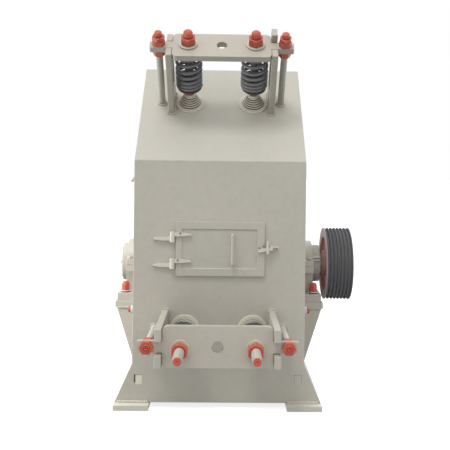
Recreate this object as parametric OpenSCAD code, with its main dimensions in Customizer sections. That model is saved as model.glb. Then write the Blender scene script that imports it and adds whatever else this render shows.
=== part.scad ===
// Horizontal-shaft impact crusher: a welded plate housing with a sloped roof, an inspection
// door, a belt-driven rotor in two plummer blocks, and two spring-loaded impact curtains that
// are each held by a pair of tension rods. Millimetres, +Z up. The door wall faces -Y.
// The origin lies at ground level under the rotor axis, midway between the anchor bolts.

/* [Housing] */
// Outer width across the two side walls
housing_w = 820; // [760:5:900]
// Plate thickness of the housing
wall_t = 20; // [14:1:24]
// Rotor axis to the outer face of the door wall
door_wall_y = 640; // [620:5:700]
// Rotor axis to the outer face of the feed wall
feed_wall_y = 520; // [480:5:600]
// Height of the fold where the sloped roof starts
fold_z = 1178; // [1150:2:1240]
// Horizontal run of the sloped roof
roof_run = 490; // [470:5:530]
// Slope of the roof in degrees
roof_angle = 45; // [43:0.5:47]

/* [Base] */
// Thickness of the base rails
rail_t = 25; // [16:1:40]
// Width of a base rail
rail_w = 166; // [150:2:200]
// How far the rails and skirts reach outside the side walls
rail_out = 83; // [65:1:95]
// How far the rails reach past the door and feed walls
rail_end = 50; // [30:1:80]
// Height above the rails where the flared skirts start
skirt_h = 186; // [140:2:240]
// Radius of an anchor bolt hole
anchor_r = 14; // [9:0.5:18]
// Distance along the rails from the rotor axis to the anchor bolts
anchor_y = 430; // [380:5:460]
// Width of the drain slots beside the skirts
drain_w = 36; // [20:1:44]
// Height of the drain slots
drain_h = 49; // [30:1:60]
// Height of the drain slots above the rails
drain_up = 83; // [60:1:110]
// How far the small side lug stands out
side_lug_out = 24; // [12:1:40]
// Height of the side lug
side_lug_h = 32; // [20:1:50]
// Length of the side lug along the wall
side_lug_run = 110; // [60:5:160]
// Distance of the side lug below the fold
side_lug_down = 105; // [80:5:140]
// Distance of the side lug behind the door wall's face
side_lug_back = 40; // [25:5:80]

/* [Feed mouth] */
// Height of the feed mouth
mouth_h = 360; // [280:5:380]
// Free distance between the flange around the mouth and the top plate
flange_gap = 13; // [4:1:30]
// Width of the flange bars around the mouth
flange_w = 45; // [36:1:48]
// Thickness of the flange bars
flange_t = 16; // [10:1:25]
// Radius of the flange bolt holes
flange_hole_r = 9; // [5:0.5:11]
// Length of the sloping feed plate behind the mouth
feed_plate_l = 360; // [250:5:380]
// Slope of the feed plate in degrees
feed_plate_angle = 42; // [35:1:48]

/* [Rotor and drive] */
// Height of the rotor axis
axis_z = 608; // [580:2:640]
// Radius over the blow bars
rotor_r = 322; // [300:1:340]
// Free distance between the rotor's ends and the side walls
rotor_gap = 20; // [10:1:40]
// Radius of the rotor discs
disc_r = 285; // [260:1:290]
// Thickness of a rotor disc
disc_t = 50; // [30:1:70]
// Number of rotor discs
disc_n = 5; // [3:1:6]
// Radius of the rotor hub tube
hub_tube_r = 110; // [95:1:130]
// Number of blow bars
bar_n = 4; // [3:1:5]
// Thickness of a blow bar
blow_bar_t = 60; // [40:1:80]
// Radial depth of a blow bar
blow_bar_h = 127; // [90:1:140]
// Shaft radius inside the housing
shaft_mid_r = 70; // [62:1:80]
// Shaft radius in the bearings and the pulley
shaft_r = 55; // [45:1:60]
// Outer radius of the belt pulley
pulley_r = 198; // [160:1:230]
// Number of belt grooves
groove_n = 7; // [3:1:8]
// Distance from groove to groove
groove_pitch = 19; // [15:0.5:25.5]
// Edge of the pulley to the first groove's middle
groove_edge = 14; // [10:0.5:17]
// Depth of a belt groove
groove_depth = 15; // [10:0.5:18]
// Rim thickness under the grooves
rim_t = 34; // [10:1:36]
// Thickness of the pulley web
web_t = 32; // [20:1:50]
// Depth of the pulley web behind the pulley's inner side
web_in = 18; // [8:1:40]
// Radius of the pulley hub
pulley_hub_r = 92; // [80:1:110]
// Radius of the neck of the hub in front of the web
hub_neck_r = 70; // [64:1:78]
// Free distance between the bearing cover and the pulley
pulley_gap = 25; // [20:1:40]

/* [Bearings] */
// Height of the top face of a bearing pedestal
pedestal_z = 427; // [405:1:440]
// Thickness of the pedestal plate
pedestal_t = 32; // [16:1:40]
// How far a pedestal reaches outside the side wall
pedestal_out = 142; // [134:1:180]
// Free distance around the hold-down nuts, to the bearing block and to the gussets
hold_gap = 26; // [20:1:40]
// Thickness of the gussets under a pedestal
gusset_t = 20; // [12:1:22]
// How far a gusset reaches out at its foot
gusset_foot = 16; // [4:1:40]
// Radius of a bearing block's cap
block_r = 126; // [115:1:145]
// Length of a bearing block along the shaft
block_l = 80; // [72:1:100]
// Gap between the side wall and a bearing block
block_gap = 18; // [12:1:40]
// Height of a bearing block's foot
sole_h = 41; // [30:1:56]
// Radius of the bearing covers
cover_r = 102; // [90:1:112]
// Length of the open cover on the pulley side
cover_l = 45; // [20:1:60]
// Length of the closed cover on the other side
blind_cover_l = 30; // [16:1:40]
// Diameter of the hold-down bolts
hold_bolt_d = 27; // [20:1:27]
// Width across flats of a hold-down nut
hold_nut_af = 41; // [32:1:42]

/* [Inspection door] */
// Width of the door leaf
door_w = 422; // [380:2:440]
// Middle of the door, right of the middle of the housing
door_x = 4; // [-20:1:20]
// Height of the door leaf
door_h = 260; // [240:2:290]
// Height of the middle of the door
door_z = 760; // [740:2:790]
// Thickness of the door leaf
leaf_t = 8; // [6:1:16]
// Overlap of the leaf around the opening
door_lap = 26; // [16:1:36]
// Thickness of the raised border on the leaf
border_t = 6; // [4:1:12]
// Width of the border along the top, bottom and latch side
border_w = 37; // [28:1:46]
// Width of the border along the hinge side
border_hinge_w = 28; // [24:1:40]
// Gap between the closed leaf and the wall
leaf_gap = 1; // [0.5:0.1:3]
// Radius of a hinge knuckle
knuckle_r = 12; // [10:0.5:14]
// Radius of a hinge pin
hinge_pin_r = 6; // [4:0.5:8]
// Height of one hinge knuckle
knuckle_h = 24; // [18:1:28]
// Reach of a hinge strap on the wall
wall_strap_l = 92; // [60:1:110]
// Reach of a hinge strap on the door
door_strap_l = 90; // [70:1:120]
// Distance of the upper hinge below the top edge of the door
upper_hinge_down = 74; // [50:1:90]
// Distance of the lower hinge above the bottom edge of the door
lower_hinge_up = 60; // [50:1:90]
// Length of the door handle
handle_l = 136; // [100:2:160]
// Distance the handle stands off the leaf
handle_out = 45; // [30:1:60]
// Radius of the handle bar
handle_r = 7; // [5:0.5:9]
// Handle position right of the door's middle
handle_x = 58; // [30:1:90]

/* [Tension sets] */
// Distance of the upper set from the fold along the roof
upper_set_at = 416; // [390:2:424]
// Height of the lower set
lower_set_z = 371; // [360:1:390]
// Middle of the lower cross plate above the line of its rods
lower_plate_up = 12; // [0:1:20]
// Free distance between a rod's seal or spring and the end of the cross plate
seal_gap = 1.5; // [1:0.5:20]
// Diameter of a tension rod
rod_d = 42; // [36:1:44]
// Rod end above the plate of the upper set
upper_rod_end = 78; // [70:1:110]
// Rod end above the plate of the lower set
lower_rod_end = 184; // [90:1:200]
// Width across flats of a rod nut
rod_nut_af = 65; // [60:1:70]
// Height of a rod nut
rod_nut_h = 38; // [30:1:44]
// Diameter of the washers under the rod nuts
washer_d = 90; // [80:1:100]
// Thickness of those washers
washer_t = 10; // [6:1:14]
// Length of the cross plate between its forks
plate_l = 475; // [460:1:490]
// Width of the cross plate
plate_w = 179; // [160:1:190]
// Thickness of the cross plate
plate_t = 30; // [20:1:36]
// Height of the cross plate's outer face above the housing
plate_top = 372; // [360:1:400]
// Corner radius of the cross plate
plate_corner = 24; // [12:1:36]
// Radius of the jacking hole in the cross plate
jack_hole_r = 26; // [18:1:32]
// Width of the tongues at the ends of the cross plate
tongue_w = 50; // [46:1:56]
// How far a tongue reaches past its stud
tongue_end = 43.5; // [34:0.5:60]
// Thickness of a fork plate
fork_t = 30; // [20:1:36]
// Width of a fork plate
fork_w = 168; // [140:2:176]
// Length of a fork plate out from the housing
fork_l = 414; // [404:1:450]
// Clearance of the tongue and the cross plate in the forks
fork_gap = 1.5; // [0.5:0.1:4]
// Height at which the slot in a fork plate starts
fork_slot_z = 118; // [90:2:200]
// Distance of a stud's axis from the fork plate beside it
stud_off = 35; // [32:1:50]
// Diameter of a stud
stud_d = 33; // [27:1:34]
// Stud end above the plate of the upper set
upper_stud_end = 70; // [60:1:100]
// Stud end above the plate of the lower set
lower_stud_end = 30; // [29:1:100]
// Width across flats of a stud nut
stud_nut_af = 54; // [46:1:55]
// Height of a stud nut
stud_nut_h = 28; // [22:1:30]
// Height of the lock nuts on the upper set
lock_nut_h = 21; // [14:1:24]

/* [Springs and seals] */
// Outer diameter of a spring
spring_d = 136; // [116:1:140]
// Diameter of the spring wire
wire_d = 22; // [18:0.5:25]
// Number of coils, with the closed end coils
coil_n = 6.5; // [5.5:0.5:6.5]
// Radius of the foot of a rod seal
seal_foot_r = 74; // [60:1:75]
// Radius at the bottom of the seal's bellows
bellows_r = 52; // [44:1:56]
// Number of bellows rings
bellows_n = 7; // [4:1:9]
// Height of a bellows ring
bellows_h = 8; // [6:0.5:12]
// Thickness of the seal's foot
seal_foot_t = 8; // [5:1:12]
// Height of the seal's neck
neck_h = 6; // [4:1:14]
// Height of the collar that carries the spring seat
collar_h = 33; // [20:1:45]
// Thickness of the spring seat
seat_t = 8; // [5:1:12]

/* [Impact curtains] */
// Thickness of an impact curtain
curtain_t = 60; // [40:1:66]
// Free distance between a curtain's ends and the side walls
curtain_gap = 20; // [8:1:40]
// Radius of the curtain pivot shafts
pivot_r = 30; // [22:1:34]
// Wall of the curtain boss around its pivot
pivot_boss_t = 15; // [10:1:18]
// Upper pivot, distance up the roof from the rods
upper_pivot_up = 260; // [250:1:266]
// Upper pivot, depth below the roof's outer face
upper_pivot_in = 98; // [94:1:110]
// Lower end of the upper curtain, distance down the roof from the rods
upper_foot_down = 263; // [240:1:275]
// Lower end of the upper curtain, depth below the roof's outer face
upper_foot_in = 366; // [350:1:375]
// Lower pivot, distance above the rods
lower_pivot_up = 739; // [710:1:752]
// Lower pivot, depth behind the door wall's outer face
lower_pivot_in = 110; // [104:1:125]
// Lower end of the lower curtain, distance below the rods
lower_foot_down = 45; // [36:1:60]
// Lower end of the lower curtain, depth behind the door wall's outer face
lower_foot_in = 270; // [255:1:278]
// Depth of the rod pins behind the housing's outer face
rod_pin_in = 140; // [130:1:146]
// Radius of a rod pin
rod_pin_r = 15; // [10:0.5:17]
// Thickness of a rod eye
eye_t = 28; // [20:1:34]
// Thickness of the curtain lugs beside a rod eye
lug_t = 18; // [12:1:24]

/* [Hidden] */

$fn = 48;
// Overshoot of a cut past the face that it starts from
cut = 1;
// Clearance of a nut, washer or hub on its bolt or shaft
slip = 0.2;
// Running clearance of a rod, pin or shaft in its guide
run = 0.5;

paint = [0.70, 0.69, 0.63];
signal_red = [0.85, 0.26, 0.17];
black_oxide = [0.16, 0.16, 0.17];
bare_steel = [0.60, 0.60, 0.58];
oxide_brown = [0.42, 0.24, 0.21];

// Housing outline in the YZ plane
half_w = housing_w / 2;
inner_half_w = half_w - wall_t;
top_z = fold_z + roof_run * tan(roof_angle);
mouth_w = housing_w - 2 * flange_w;
mouth_z = top_z - wall_t - flange_gap - flange_w - mouth_h;
rotor_l = 2 * (inner_half_w - rotor_gap);
curtain_w = 2 * (inner_half_w - curtain_gap);
ridge_y = roof_run - door_wall_y;
fold_out = [-door_wall_y, fold_z];
fold_in = [wall_t - door_wall_y, fold_z - wall_t * tan((90 - roof_angle) / 2)];
ridge_out = [ridge_y, top_z];
ridge_in = [ridge_y + wall_t * tan(roof_angle / 2), top_z - wall_t];
wall_foot_z = rail_t;
skirt_half_w = half_w + rail_out;
anchor_x = half_w + rail_out / 2;

// Door
open_w = door_w - 2 * door_lap;
open_h = door_h - 2 * door_lap;
leaf_back_y = -door_wall_y - leaf_gap;
leaf_face_y = leaf_back_y - leaf_t;
border_face_y = leaf_face_y - border_t;
knuckle_clear = 5;
hinge_x = door_x - door_w / 2 - knuckle_clear - knuckle_r;
hinge_y = border_face_y - 5;
strap_t = 16;
strap_root_h = 18;
strap_tip_h = 6;
strap_shoulder = 0.6;
wall_strap_up = knuckle_h / 2 - strap_root_h / 2;
knuckle_gap = 0.5;
// Hinge middles, measured at the joint between the two knuckles
hinge_z = [door_z + door_h / 2 - upper_hinge_down, door_z - door_h / 2 + lower_hinge_up];
latch_up = 5;
latch_z = door_z + latch_up;
latch_bar_h = 14;
latch_bar_t = 12;
latch_overlap = 12;
latch_edge = 4;
latch_tilt = 10;
latch_pin_r = 6;
latch_pin_h = 62;
latch_pin_down = 24;
keeper_off = 25;
keeper_x = door_x + door_w / 2 + keeper_off;
keeper_l = 40;
keeper_t = border_t + leaf_t + leaf_gap;
keeper_gap = 3;

// Bearings
block_x = half_w + block_gap;
block_end_x = block_x + block_l;
sole_back = 9;
sole_end_x = half_w + pedestal_out - sole_back;
hold_nut_r = hold_nut_af / 2 / cos(30);
stud_edge = 15;
hold_x = [block_x + hold_nut_r, sole_end_x - hold_nut_r - stud_edge];
hold_y = block_r + hold_gap + hold_nut_r;
sole_half_l = hold_y + hold_nut_r + 18;
pedestal_l = 2 * (hold_y + hold_nut_r + hold_gap / 3 + gusset_t);
hold_nut_h = 22;
hold_tip_h = 20;
hold_tail_h = 62;
blind_wall_t = 10;
blind_end_gap = 4;
shaft_hole_gap = 10;
ear_w = 32;
ear_h = 34;
cover_end_x = block_end_x + cover_l;
pulley_x = cover_end_x + pulley_gap;
pulley_w = (groove_n - 1) * groove_pitch + 2 * groove_edge;
groove_top_w = 15;
hub_front = 12;
groove_floor_w = 5.5;
rim_in_r = pulley_r - groove_depth - rim_t;
wall_hole_r = shaft_mid_r + shaft_hole_gap;

// Tension sets, in a frame on the housing: X along the shaft, Y up the wall or roof, Z outwards
rod_x = plate_l / 2 - max(seal_foot_r, spring_d / 2) - seal_gap;
plate_z = plate_top - plate_t;
fork_x = plate_l / 2 + fork_gap + fork_t / 2;
stud_x = fork_x + fork_t / 2 + stud_off;
fork_slot_w = tongue_w + 2 * fork_gap + 3.5;
tongue_x = stud_x + tongue_end;
short_arm_l = plate_top + 2;
tongue_corner = 8;
rod_hole_r = rod_d / 2 + 1;
wall_rod_hole_r = rod_d / 2 + 6;
washer_top = plate_top + washer_t;
seal_h = seal_foot_t + bellows_n * bellows_h + neck_h;
neck_r = rod_d / 2 + 4;
collar_z = seal_h + 3;
collar_r = rod_d / 2 + 6;
seat_z = collar_z + collar_h;
spring_z = seat_z + seat_t;
spring_l = plate_z - spring_z;
coil_r = (spring_d - wire_d) / 2;
seat_r = spring_d / 2 - 2;
tip_chamfer = 5;
eye_half_w = 32;
eye_end = 30;
eye_slot = 6;
eye_play = 2;
lug_gap = 4;
lug_wall = 20;

// Swept spring wire
wire_sides = 8;
coil_steps = 12;
end_pitch = wire_d * 1.015;
mid_pitch = (spring_l - wire_d - 2 * end_pitch) / (coil_n - 2);

// Stands a YZ outline up and stretches it evenly to both sides along X
module across(w) {
  rotate([90, 0, 90])
    translate([0, 0, -w / 2])
      linear_extrude(w)
        children();
}

// Stands an XZ outline up with its thickness towards -Y
module facing(t) {
  rotate([90, 0, 0])
    linear_extrude(t)
      children();
}

module on_both_sides() {
  children();
  mirror([1, 0, 0])
    children();
}

// Frame of the upper tension set on the roof, and of the lower one on the door wall
module upper_set() {
  translate([0, -door_wall_y + upper_set_at * cos(roof_angle), fold_z + upper_set_at * sin(roof_angle)])
    rotate([roof_angle, 0, 0])
      children();
}

module lower_set() {
  translate([0, -door_wall_y, lower_set_z])
    rotate([90, 0, 0])
      children();
}

module lower_plate_line() {
  lower_set()
    translate([0, lower_plate_up, 0])
      children();
}

// Lays a shape that is modelled along Z on the rotor axis, towards +X
module on_axis(x = 0) {
  translate([x, 0, axis_z])
    rotate([0, 90, 0])
      children();
}

module rounded_rectangle(w, h, r) {
  square([w - 2 * r, h], center = true);
  square([w, h - 2 * r], center = true);
  for (x = [-1, 1], y = [-1, 1])
    translate([x * (w / 2 - r), y * (h / 2 - r)])
      circle(r);
}

module ring(r, h, bore) {
  difference() {
    cylinder(r = r, h = h);
    translate([0, 0, -cut])
      cylinder(r = bore, h = h + 2 * cut);
  }
}

module nut(across_flats, h, bore) {
  difference() {
    cylinder(d = across_flats / cos(30), h = h, $fn = 6);
    translate([0, 0, -cut])
      cylinder(r = bore, h = h + 2 * cut);
  }
}

// Housing plates

module skirt_outline() {
  polygon([
    [-skirt_half_w, wall_foot_z], [skirt_half_w, wall_foot_z],
    [half_w, wall_foot_z + skirt_h], [-half_w, wall_foot_z + skirt_h]
  ]);
}

module drain_outline() {
  chamfer = drain_w / 3;
  polygon([
    [chamfer, 0], [drain_w, 0], [drain_w, drain_h], [0, drain_h], [0, chamfer]
  ]);
}

module drains() {
  drain_x = half_w - drain_w - wall_t / 2;
  on_both_sides()
    translate([drain_x + drain_w, cut, wall_foot_z + drain_up])
      mirror([1, 0, 0])
        facing(wall_t + 2 * cut)
          drain_outline();
}

module rod_holes() {
  for (side = [-1, 1])
    translate([side * rod_x, 0, -wall_t - cut])
      cylinder(r = wall_rod_hole_r, h = wall_t + 2 * cut);
}

module door_wall() {
  color(paint)
    difference() {
      union() {
        across(housing_w)
          polygon([[-door_wall_y, wall_foot_z], fold_out, fold_in, [wall_t - door_wall_y, wall_foot_z]]);
        translate([0, wall_t - door_wall_y, 0])
          facing(wall_t)
            skirt_outline();
      }
      translate([door_x - open_w / 2, -door_wall_y - cut, door_z - open_h / 2])
        cube([open_w, wall_t + 2 * cut, open_h]);
      translate([0, wall_t - door_wall_y, 0])
        drains();
      lower_set()
        rod_holes();
    }
}

module sloped_roof() {
  color(paint)
    difference() {
      across(housing_w)
        polygon([fold_out, ridge_out, ridge_in, fold_in]);
      upper_set()
        rod_holes();
    }
}

module top_plate() {
  color(paint)
    across(housing_w)
      polygon([ridge_out, [feed_wall_y, top_z], [feed_wall_y, top_z - wall_t], ridge_in]);
}

module flange_holes() {
  hole_x = (mouth_w + flange_w) / 2;
  for (x = [-hole_x, 0, hole_x], z = [mouth_z - flange_w / 2, mouth_z + mouth_h + flange_w / 2])
    translate([x, feed_wall_y + flange_t + cut, z])
      rotate([90, 0, 0])
        cylinder(r = flange_hole_r, h = wall_t + flange_t + 2 * cut);
}

module mouth_opening(depth) {
  translate([-mouth_w / 2, -depth / 2, mouth_z])
    cube([mouth_w, depth, mouth_h]);
}

module feed_wall() {
  color(paint)
    difference() {
      translate([0, feed_wall_y, 0])
        facing(wall_t)
          union() {
            skirt_outline();
            translate([-half_w, wall_foot_z])
              square([housing_w, top_z - wall_t - wall_foot_z]);
          }
      translate([0, feed_wall_y, 0])
        mouth_opening(4 * wall_t);
      flange_holes();
    }
}

module feed_flange() {
  color(paint)
    difference() {
      translate([-mouth_w / 2 - flange_w, feed_wall_y, mouth_z - flange_w])
        cube([mouth_w + 2 * flange_w, flange_t, mouth_h + 2 * flange_w]);
      translate([0, feed_wall_y, 0])
        mouth_opening(4 * flange_t);
      flange_holes();
    }
}

module feed_plate() {
  run_in = feed_plate_l * cos(feed_plate_angle);
  drop = feed_plate_l * sin(feed_plate_angle);
  inner_y = feed_wall_y - wall_t;
  color(bare_steel)
    across(2 * inner_half_w)
      polygon([
        [inner_y, mouth_z], [inner_y - run_in, mouth_z - drop],
        [inner_y - run_in, mouth_z - drop - wall_t], [inner_y, mouth_z - wall_t]
      ]);
}

module side_wall() {
  inner_y = feed_wall_y - wall_t;
  difference() {
    translate([half_w - wall_t / 2, 0, 0])
      across(wall_t)
        polygon([
          [wall_t - door_wall_y, wall_foot_z], fold_in, ridge_in,
          [inner_y, top_z - wall_t], [inner_y, wall_foot_z]
        ]);
    on_axis(inner_half_w - cut)
      cylinder(r = wall_hole_r, h = wall_t + 2 * cut);
  }
}

module right_side_wall() {
  color(paint)
    side_wall();
}

module left_side_wall() {
  color(paint)
    mirror([1, 0, 0])
      side_wall();
}

module base_rails() {
  rail_l = door_wall_y + feed_wall_y + 2 * rail_end;
  color(paint)
    on_both_sides()
      difference() {
        translate([skirt_half_w - rail_w, -door_wall_y - rail_end, 0])
          cube([rail_w, rail_l, rail_t]);
        for (y = [-anchor_y, anchor_y])
          translate([anchor_x, y, -cut])
            cylinder(r = anchor_r, h = rail_t + 2 * cut);
      }
}

module side_lug() {
  lug_y = side_lug_back - door_wall_y;
  lug_z = fold_z - side_lug_down;
  color(paint)
    translate([0, lug_y + side_lug_run, 0])
      facing(side_lug_run)
        polygon([[-half_w, lug_z], [-half_w, lug_z + side_lug_h], [-half_w - side_lug_out, lug_z]]);
}

// Bearings and their pedestals

module hold_down_places(places) {
  for (x = places, y = [-hold_y, hold_y])
    translate([x, y, 0])
      children();
}

module pedestal() {
  under_z = pedestal_z - pedestal_t;
  difference() {
    union() {
      translate([half_w, -pedestal_l / 2, under_z])
        cube([pedestal_out, pedestal_l, pedestal_t]);
      for (y = [gusset_t - pedestal_l / 2, gusset_t / 2, pedestal_l / 2])
        translate([0, y, 0])
          facing(gusset_t)
            polygon([
              [half_w, wall_foot_z], [half_w + gusset_foot, wall_foot_z],
              [half_w + pedestal_out - 8, under_z + cut], [half_w, under_z + cut]
            ]);
    }
    hold_down_places(hold_x)
      translate([0, 0, under_z - cut])
        cylinder(r = hold_bolt_d / 2 + run, h = pedestal_t + 2 * cut);
  }
}

module right_pedestal() {
  color(paint)
    pedestal();
}

module left_pedestal() {
  color(paint)
    mirror([1, 0, 0])
      pedestal();
}

module shaft_bore(x, l) {
  on_axis(x - cut)
    cylinder(r = shaft_r + run, h = l + 2 * cut);
}

module bearing_base() {
  difference() {
    union() {
      translate([block_x, -sole_half_l, pedestal_z])
        cube([sole_end_x - block_x, 2 * sole_half_l, sole_h]);
      translate([block_x, -block_r, pedestal_z])
        cube([block_l, 2 * block_r, axis_z - pedestal_z]);
      translate([block_x, -block_r - ear_w, axis_z - ear_h])
        cube([block_l, 2 * (block_r + ear_w), ear_h]);
    }
    shaft_bore(block_x, block_l);
    hold_down_places(hold_x)
      translate([0, 0, pedestal_z - cut])
        cylinder(r = hold_bolt_d / 2 + run, h = sole_h + 2 * cut);
  }
}

module right_bearing_base() {
  color(paint)
    bearing_base();
}

module left_bearing_base() {
  color(paint)
    mirror([1, 0, 0])
      bearing_base();
}

module bearing_cap() {
  difference() {
    union() {
      on_axis(block_x)
        cylinder(r = block_r, h = block_l);
      translate([block_x, -block_r - ear_w, axis_z])
        cube([block_l, 2 * (block_r + ear_w), ear_h]);
    }
    translate([block_x - cut, -2 * block_r, axis_z - 2 * block_r])
      cube([block_l + 2 * cut, 4 * block_r, 2 * block_r]);
    shaft_bore(block_x, block_l);
  }
}

module right_bearing_cap() {
  color(paint)
    bearing_cap();
}

module left_bearing_cap() {
  color(paint)
    mirror([1, 0, 0])
      bearing_cap();
}

// An open cover on the pulley side, and a blind one over the other end of the shaft
module bearing_covers() {
  blind_bore_l = blind_cover_l - blind_wall_t;
  color(paint) {
    on_axis(block_end_x)
      ring(cover_r, cover_l, shaft_r + run);
    mirror([1, 0, 0])
      on_axis(block_end_x)
        difference() {
          cylinder(r = cover_r, h = blind_cover_l);
          translate([0, 0, -cut])
            cylinder(r = shaft_r + run, h = blind_bore_l + cut);
        }
  }
}

// By the wall a bolt that is let into the foot and nutted below, outside it a stud nutted above
module hold_down_bolts() {
  under_z = pedestal_z - pedestal_t;
  sole_z = pedestal_z + sole_h;
  tail_z = under_z - hold_nut_h - hold_tail_h;
  tip_z = sole_z + hold_nut_h + hold_tip_h;
  color(bare_steel)
    on_both_sides() {
      hold_down_places([hold_x[0]])
        translate([0, 0, tail_z])
          cylinder(d = hold_bolt_d, h = sole_z - tail_z);
      hold_down_places([hold_x[1]])
        translate([0, 0, under_z])
          cylinder(d = hold_bolt_d, h = tip_z - under_z);
    }
}

module hold_down_nuts() {
  color(signal_red)
    on_both_sides() {
      hold_down_places([hold_x[0]])
        translate([0, 0, pedestal_z - pedestal_t - hold_nut_h])
          nut(hold_nut_af, hold_nut_h, hold_bolt_d / 2 + slip);
      hold_down_places([hold_x[1]])
        translate([0, 0, pedestal_z + sole_h])
          nut(hold_nut_af, hold_nut_h, hold_bolt_d / 2 + slip);
    }
}

// Rotor and drive

module shaft() {
  end_x = pulley_x + pulley_w;
  blind_end_x = -block_end_x - blind_cover_l + blind_wall_t + blind_end_gap;
  mid_l = 2 * (half_w + 6);
  color(bare_steel) {
    on_axis(blind_end_x)
      cylinder(r = shaft_r, h = end_x - blind_end_x);
    on_axis(-mid_l / 2)
      cylinder(r = shaft_mid_r, h = mid_l);
  }
}

module around_rotor() {
  for (i = [0:bar_n - 1])
    translate([0, 0, axis_z])
      rotate([i * 360 / bar_n + 20, 0, 0])
        children();
}

module rotor_body() {
  seat_r = rotor_r - blow_bar_h;
  color(bare_steel)
    difference() {
      union() {
        on_axis(-rotor_l / 2)
          cylinder(r = hub_tube_r, h = rotor_l);
        for (i = [0:disc_n - 1])
          on_axis(-rotor_l / 2 + i * (rotor_l - disc_t) / (disc_n - 1))
            cylinder(r = disc_r, h = disc_t);
      }
      on_axis(-rotor_l / 2 - cut)
        cylinder(r = shaft_mid_r + slip, h = rotor_l + 2 * cut);
      around_rotor()
        translate([-rotor_l / 2 - cut, -blow_bar_t / 2 - slip, seat_r])
          cube([rotor_l + 2 * cut, blow_bar_t + 2 * slip, blow_bar_h]);
    }
}

module blow_bars() {
  color(bare_steel)
    around_rotor()
      translate([-rotor_l / 2, -blow_bar_t / 2, rotor_r - blow_bar_h])
        cube([rotor_l, blow_bar_t, blow_bar_h]);
}

// Half section of the grooved rim: radius along X, place along the shaft along Y
function groove_outline(i) =
  let (middle = groove_edge + i * groove_pitch, floor_r = pulley_r - groove_depth)
  [
    [pulley_r, middle - groove_top_w / 2], [floor_r, middle - groove_floor_w / 2],
    [floor_r, middle + groove_floor_w / 2], [pulley_r, middle + groove_top_w / 2]
  ];

module pulley() {
  rim_points = [
    [rim_in_r, 0], [pulley_r, 0],
    for (i = [0:groove_n - 1], p = groove_outline(i)) p,
    [pulley_r, pulley_w], [rim_in_r, pulley_w]
  ];
  hub_l = pulley_w * 0.9 - web_in;
  color(oxide_brown)
    on_axis(pulley_x) {
      rotate_extrude()
        polygon(rim_points);
      translate([0, 0, web_in]) {
        ring(rim_in_r + cut, web_t, shaft_r + slip);
        ring(pulley_hub_r, hub_l, shaft_r + slip);
        translate([0, 0, -web_in - hub_front])
          ring(hub_neck_r, web_in + hub_front + cut, shaft_r + slip);
      }
    }
}

// Inspection door, its hinges and its latch

module door_leaf() {
  recess_w = door_w - border_w - border_hinge_w;
  recess_h = door_h - 2 * border_w;
  color(paint)
    difference() {
      translate([door_x - door_w / 2, border_face_y, door_z - door_h / 2])
        cube([door_w, leaf_t + border_t, door_h]);
      translate([door_x - door_w / 2 + border_hinge_w, border_face_y - cut, door_z - recess_h / 2])
        cube([recess_w, border_t + cut, recess_h]);
    }
}

// Tapered strap from the knuckle at X 0 towards +X
module strap_outline(l) {
  root = strap_root_h / 2;
  tip = strap_tip_h / 2;
  polygon([
    [0, -root], [l * strap_shoulder, -root * 0.9], [l, -tip],
    [l, tip], [l * strap_shoulder, root * 0.9], [0, root]
  ]);
}

module knuckle(bore) {
  translate([hinge_x, hinge_y, -knuckle_h / 2])
    difference() {
      cylinder(r = knuckle_r, h = knuckle_h);
      translate([0, 0, -cut])
        cylinder(r = bore, h = knuckle_h + 2 * cut);
    }
}

module door_straps() {
  strap_out = border_face_y - hinge_y + knuckle_r / 2;
  color(paint)
    for (z = hinge_z)
      translate([0, 0, z + (knuckle_h + knuckle_gap) / 2])
        difference() {
          union() {
            knuckle(hinge_pin_r + run);
            translate([hinge_x, border_face_y, 0])
              facing(strap_out)
                strap_outline(door_strap_l);
          }
          translate([hinge_x, hinge_y, -knuckle_h])
            cylinder(r = hinge_pin_r + run, h = 2 * knuckle_h);
        }
}

module hinge_straps() {
  pin_h = 2 * knuckle_h + knuckle_gap;
  strap_out = strap_t;
  color(paint)
    for (z = hinge_z)
      translate([0, 0, z - (knuckle_h + knuckle_gap) / 2]) {
        translate([hinge_x, hinge_y, -knuckle_h / 2])
          cylinder(r = knuckle_r, h = knuckle_h);
        translate([hinge_x, hinge_y, -knuckle_h / 2])
          cylinder(r = hinge_pin_r, h = pin_h);
        translate([hinge_x, -door_wall_y, wall_strap_up])
          mirror([1, 0, 0])
            facing(strap_out)
              strap_outline(wall_strap_l);
      }
}

module door_handle() {
  bar_y = leaf_face_y - handle_out;
  color(paint)
    translate([door_x + handle_x, 0, door_z - handle_l / 2]) {
      translate([0, bar_y, 0])
        cylinder(r = handle_r, h = handle_l);
      for (z = [0, handle_l])
        translate([0, leaf_face_y, z]) {
          rotate([90, 0, 0])
            cylinder(r = handle_r, h = handle_out);
          translate([0, -handle_out, 0])
            sphere(r = handle_r);
        }
    }
}

// Bar across the edge of the door with a cross pin to grip it by
module door_latch() {
  bar_x = door_x + door_w / 2 - border_w + latch_edge;
  bar_end_x = keeper_x + latch_overlap;
  bar_face_y = border_face_y - keeper_gap - latch_bar_t;
  color(paint) {
    translate([bar_end_x, 0, latch_z])
      rotate([0, -latch_tilt, 0])
        translate([bar_x - bar_end_x, 0, -latch_bar_h / 2]) {
          translate([0, bar_face_y, 0])
            cube([bar_end_x - bar_x, latch_bar_t, latch_bar_h]);
          translate([0, border_face_y - keeper_gap - cut, 0])
            cube([border_w - 2 * latch_edge, keeper_gap + cut, latch_bar_h]);
        }
    translate([keeper_x - 2 * latch_pin_r, bar_face_y - latch_pin_r / 2, latch_z - latch_pin_down])
      cylinder(r = latch_pin_r, h = latch_pin_h);
  }
}

module latch_keeper() {
  keeper_h = 24;
  color(paint)
    translate([keeper_x, -door_wall_y, latch_z])
      facing(keeper_t)
        polygon([
          [0, -keeper_h / 2], [keeper_l, -keeper_h / 4], [keeper_l, keeper_h / 4], [0, keeper_h / 2]
        ]);
}

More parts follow.
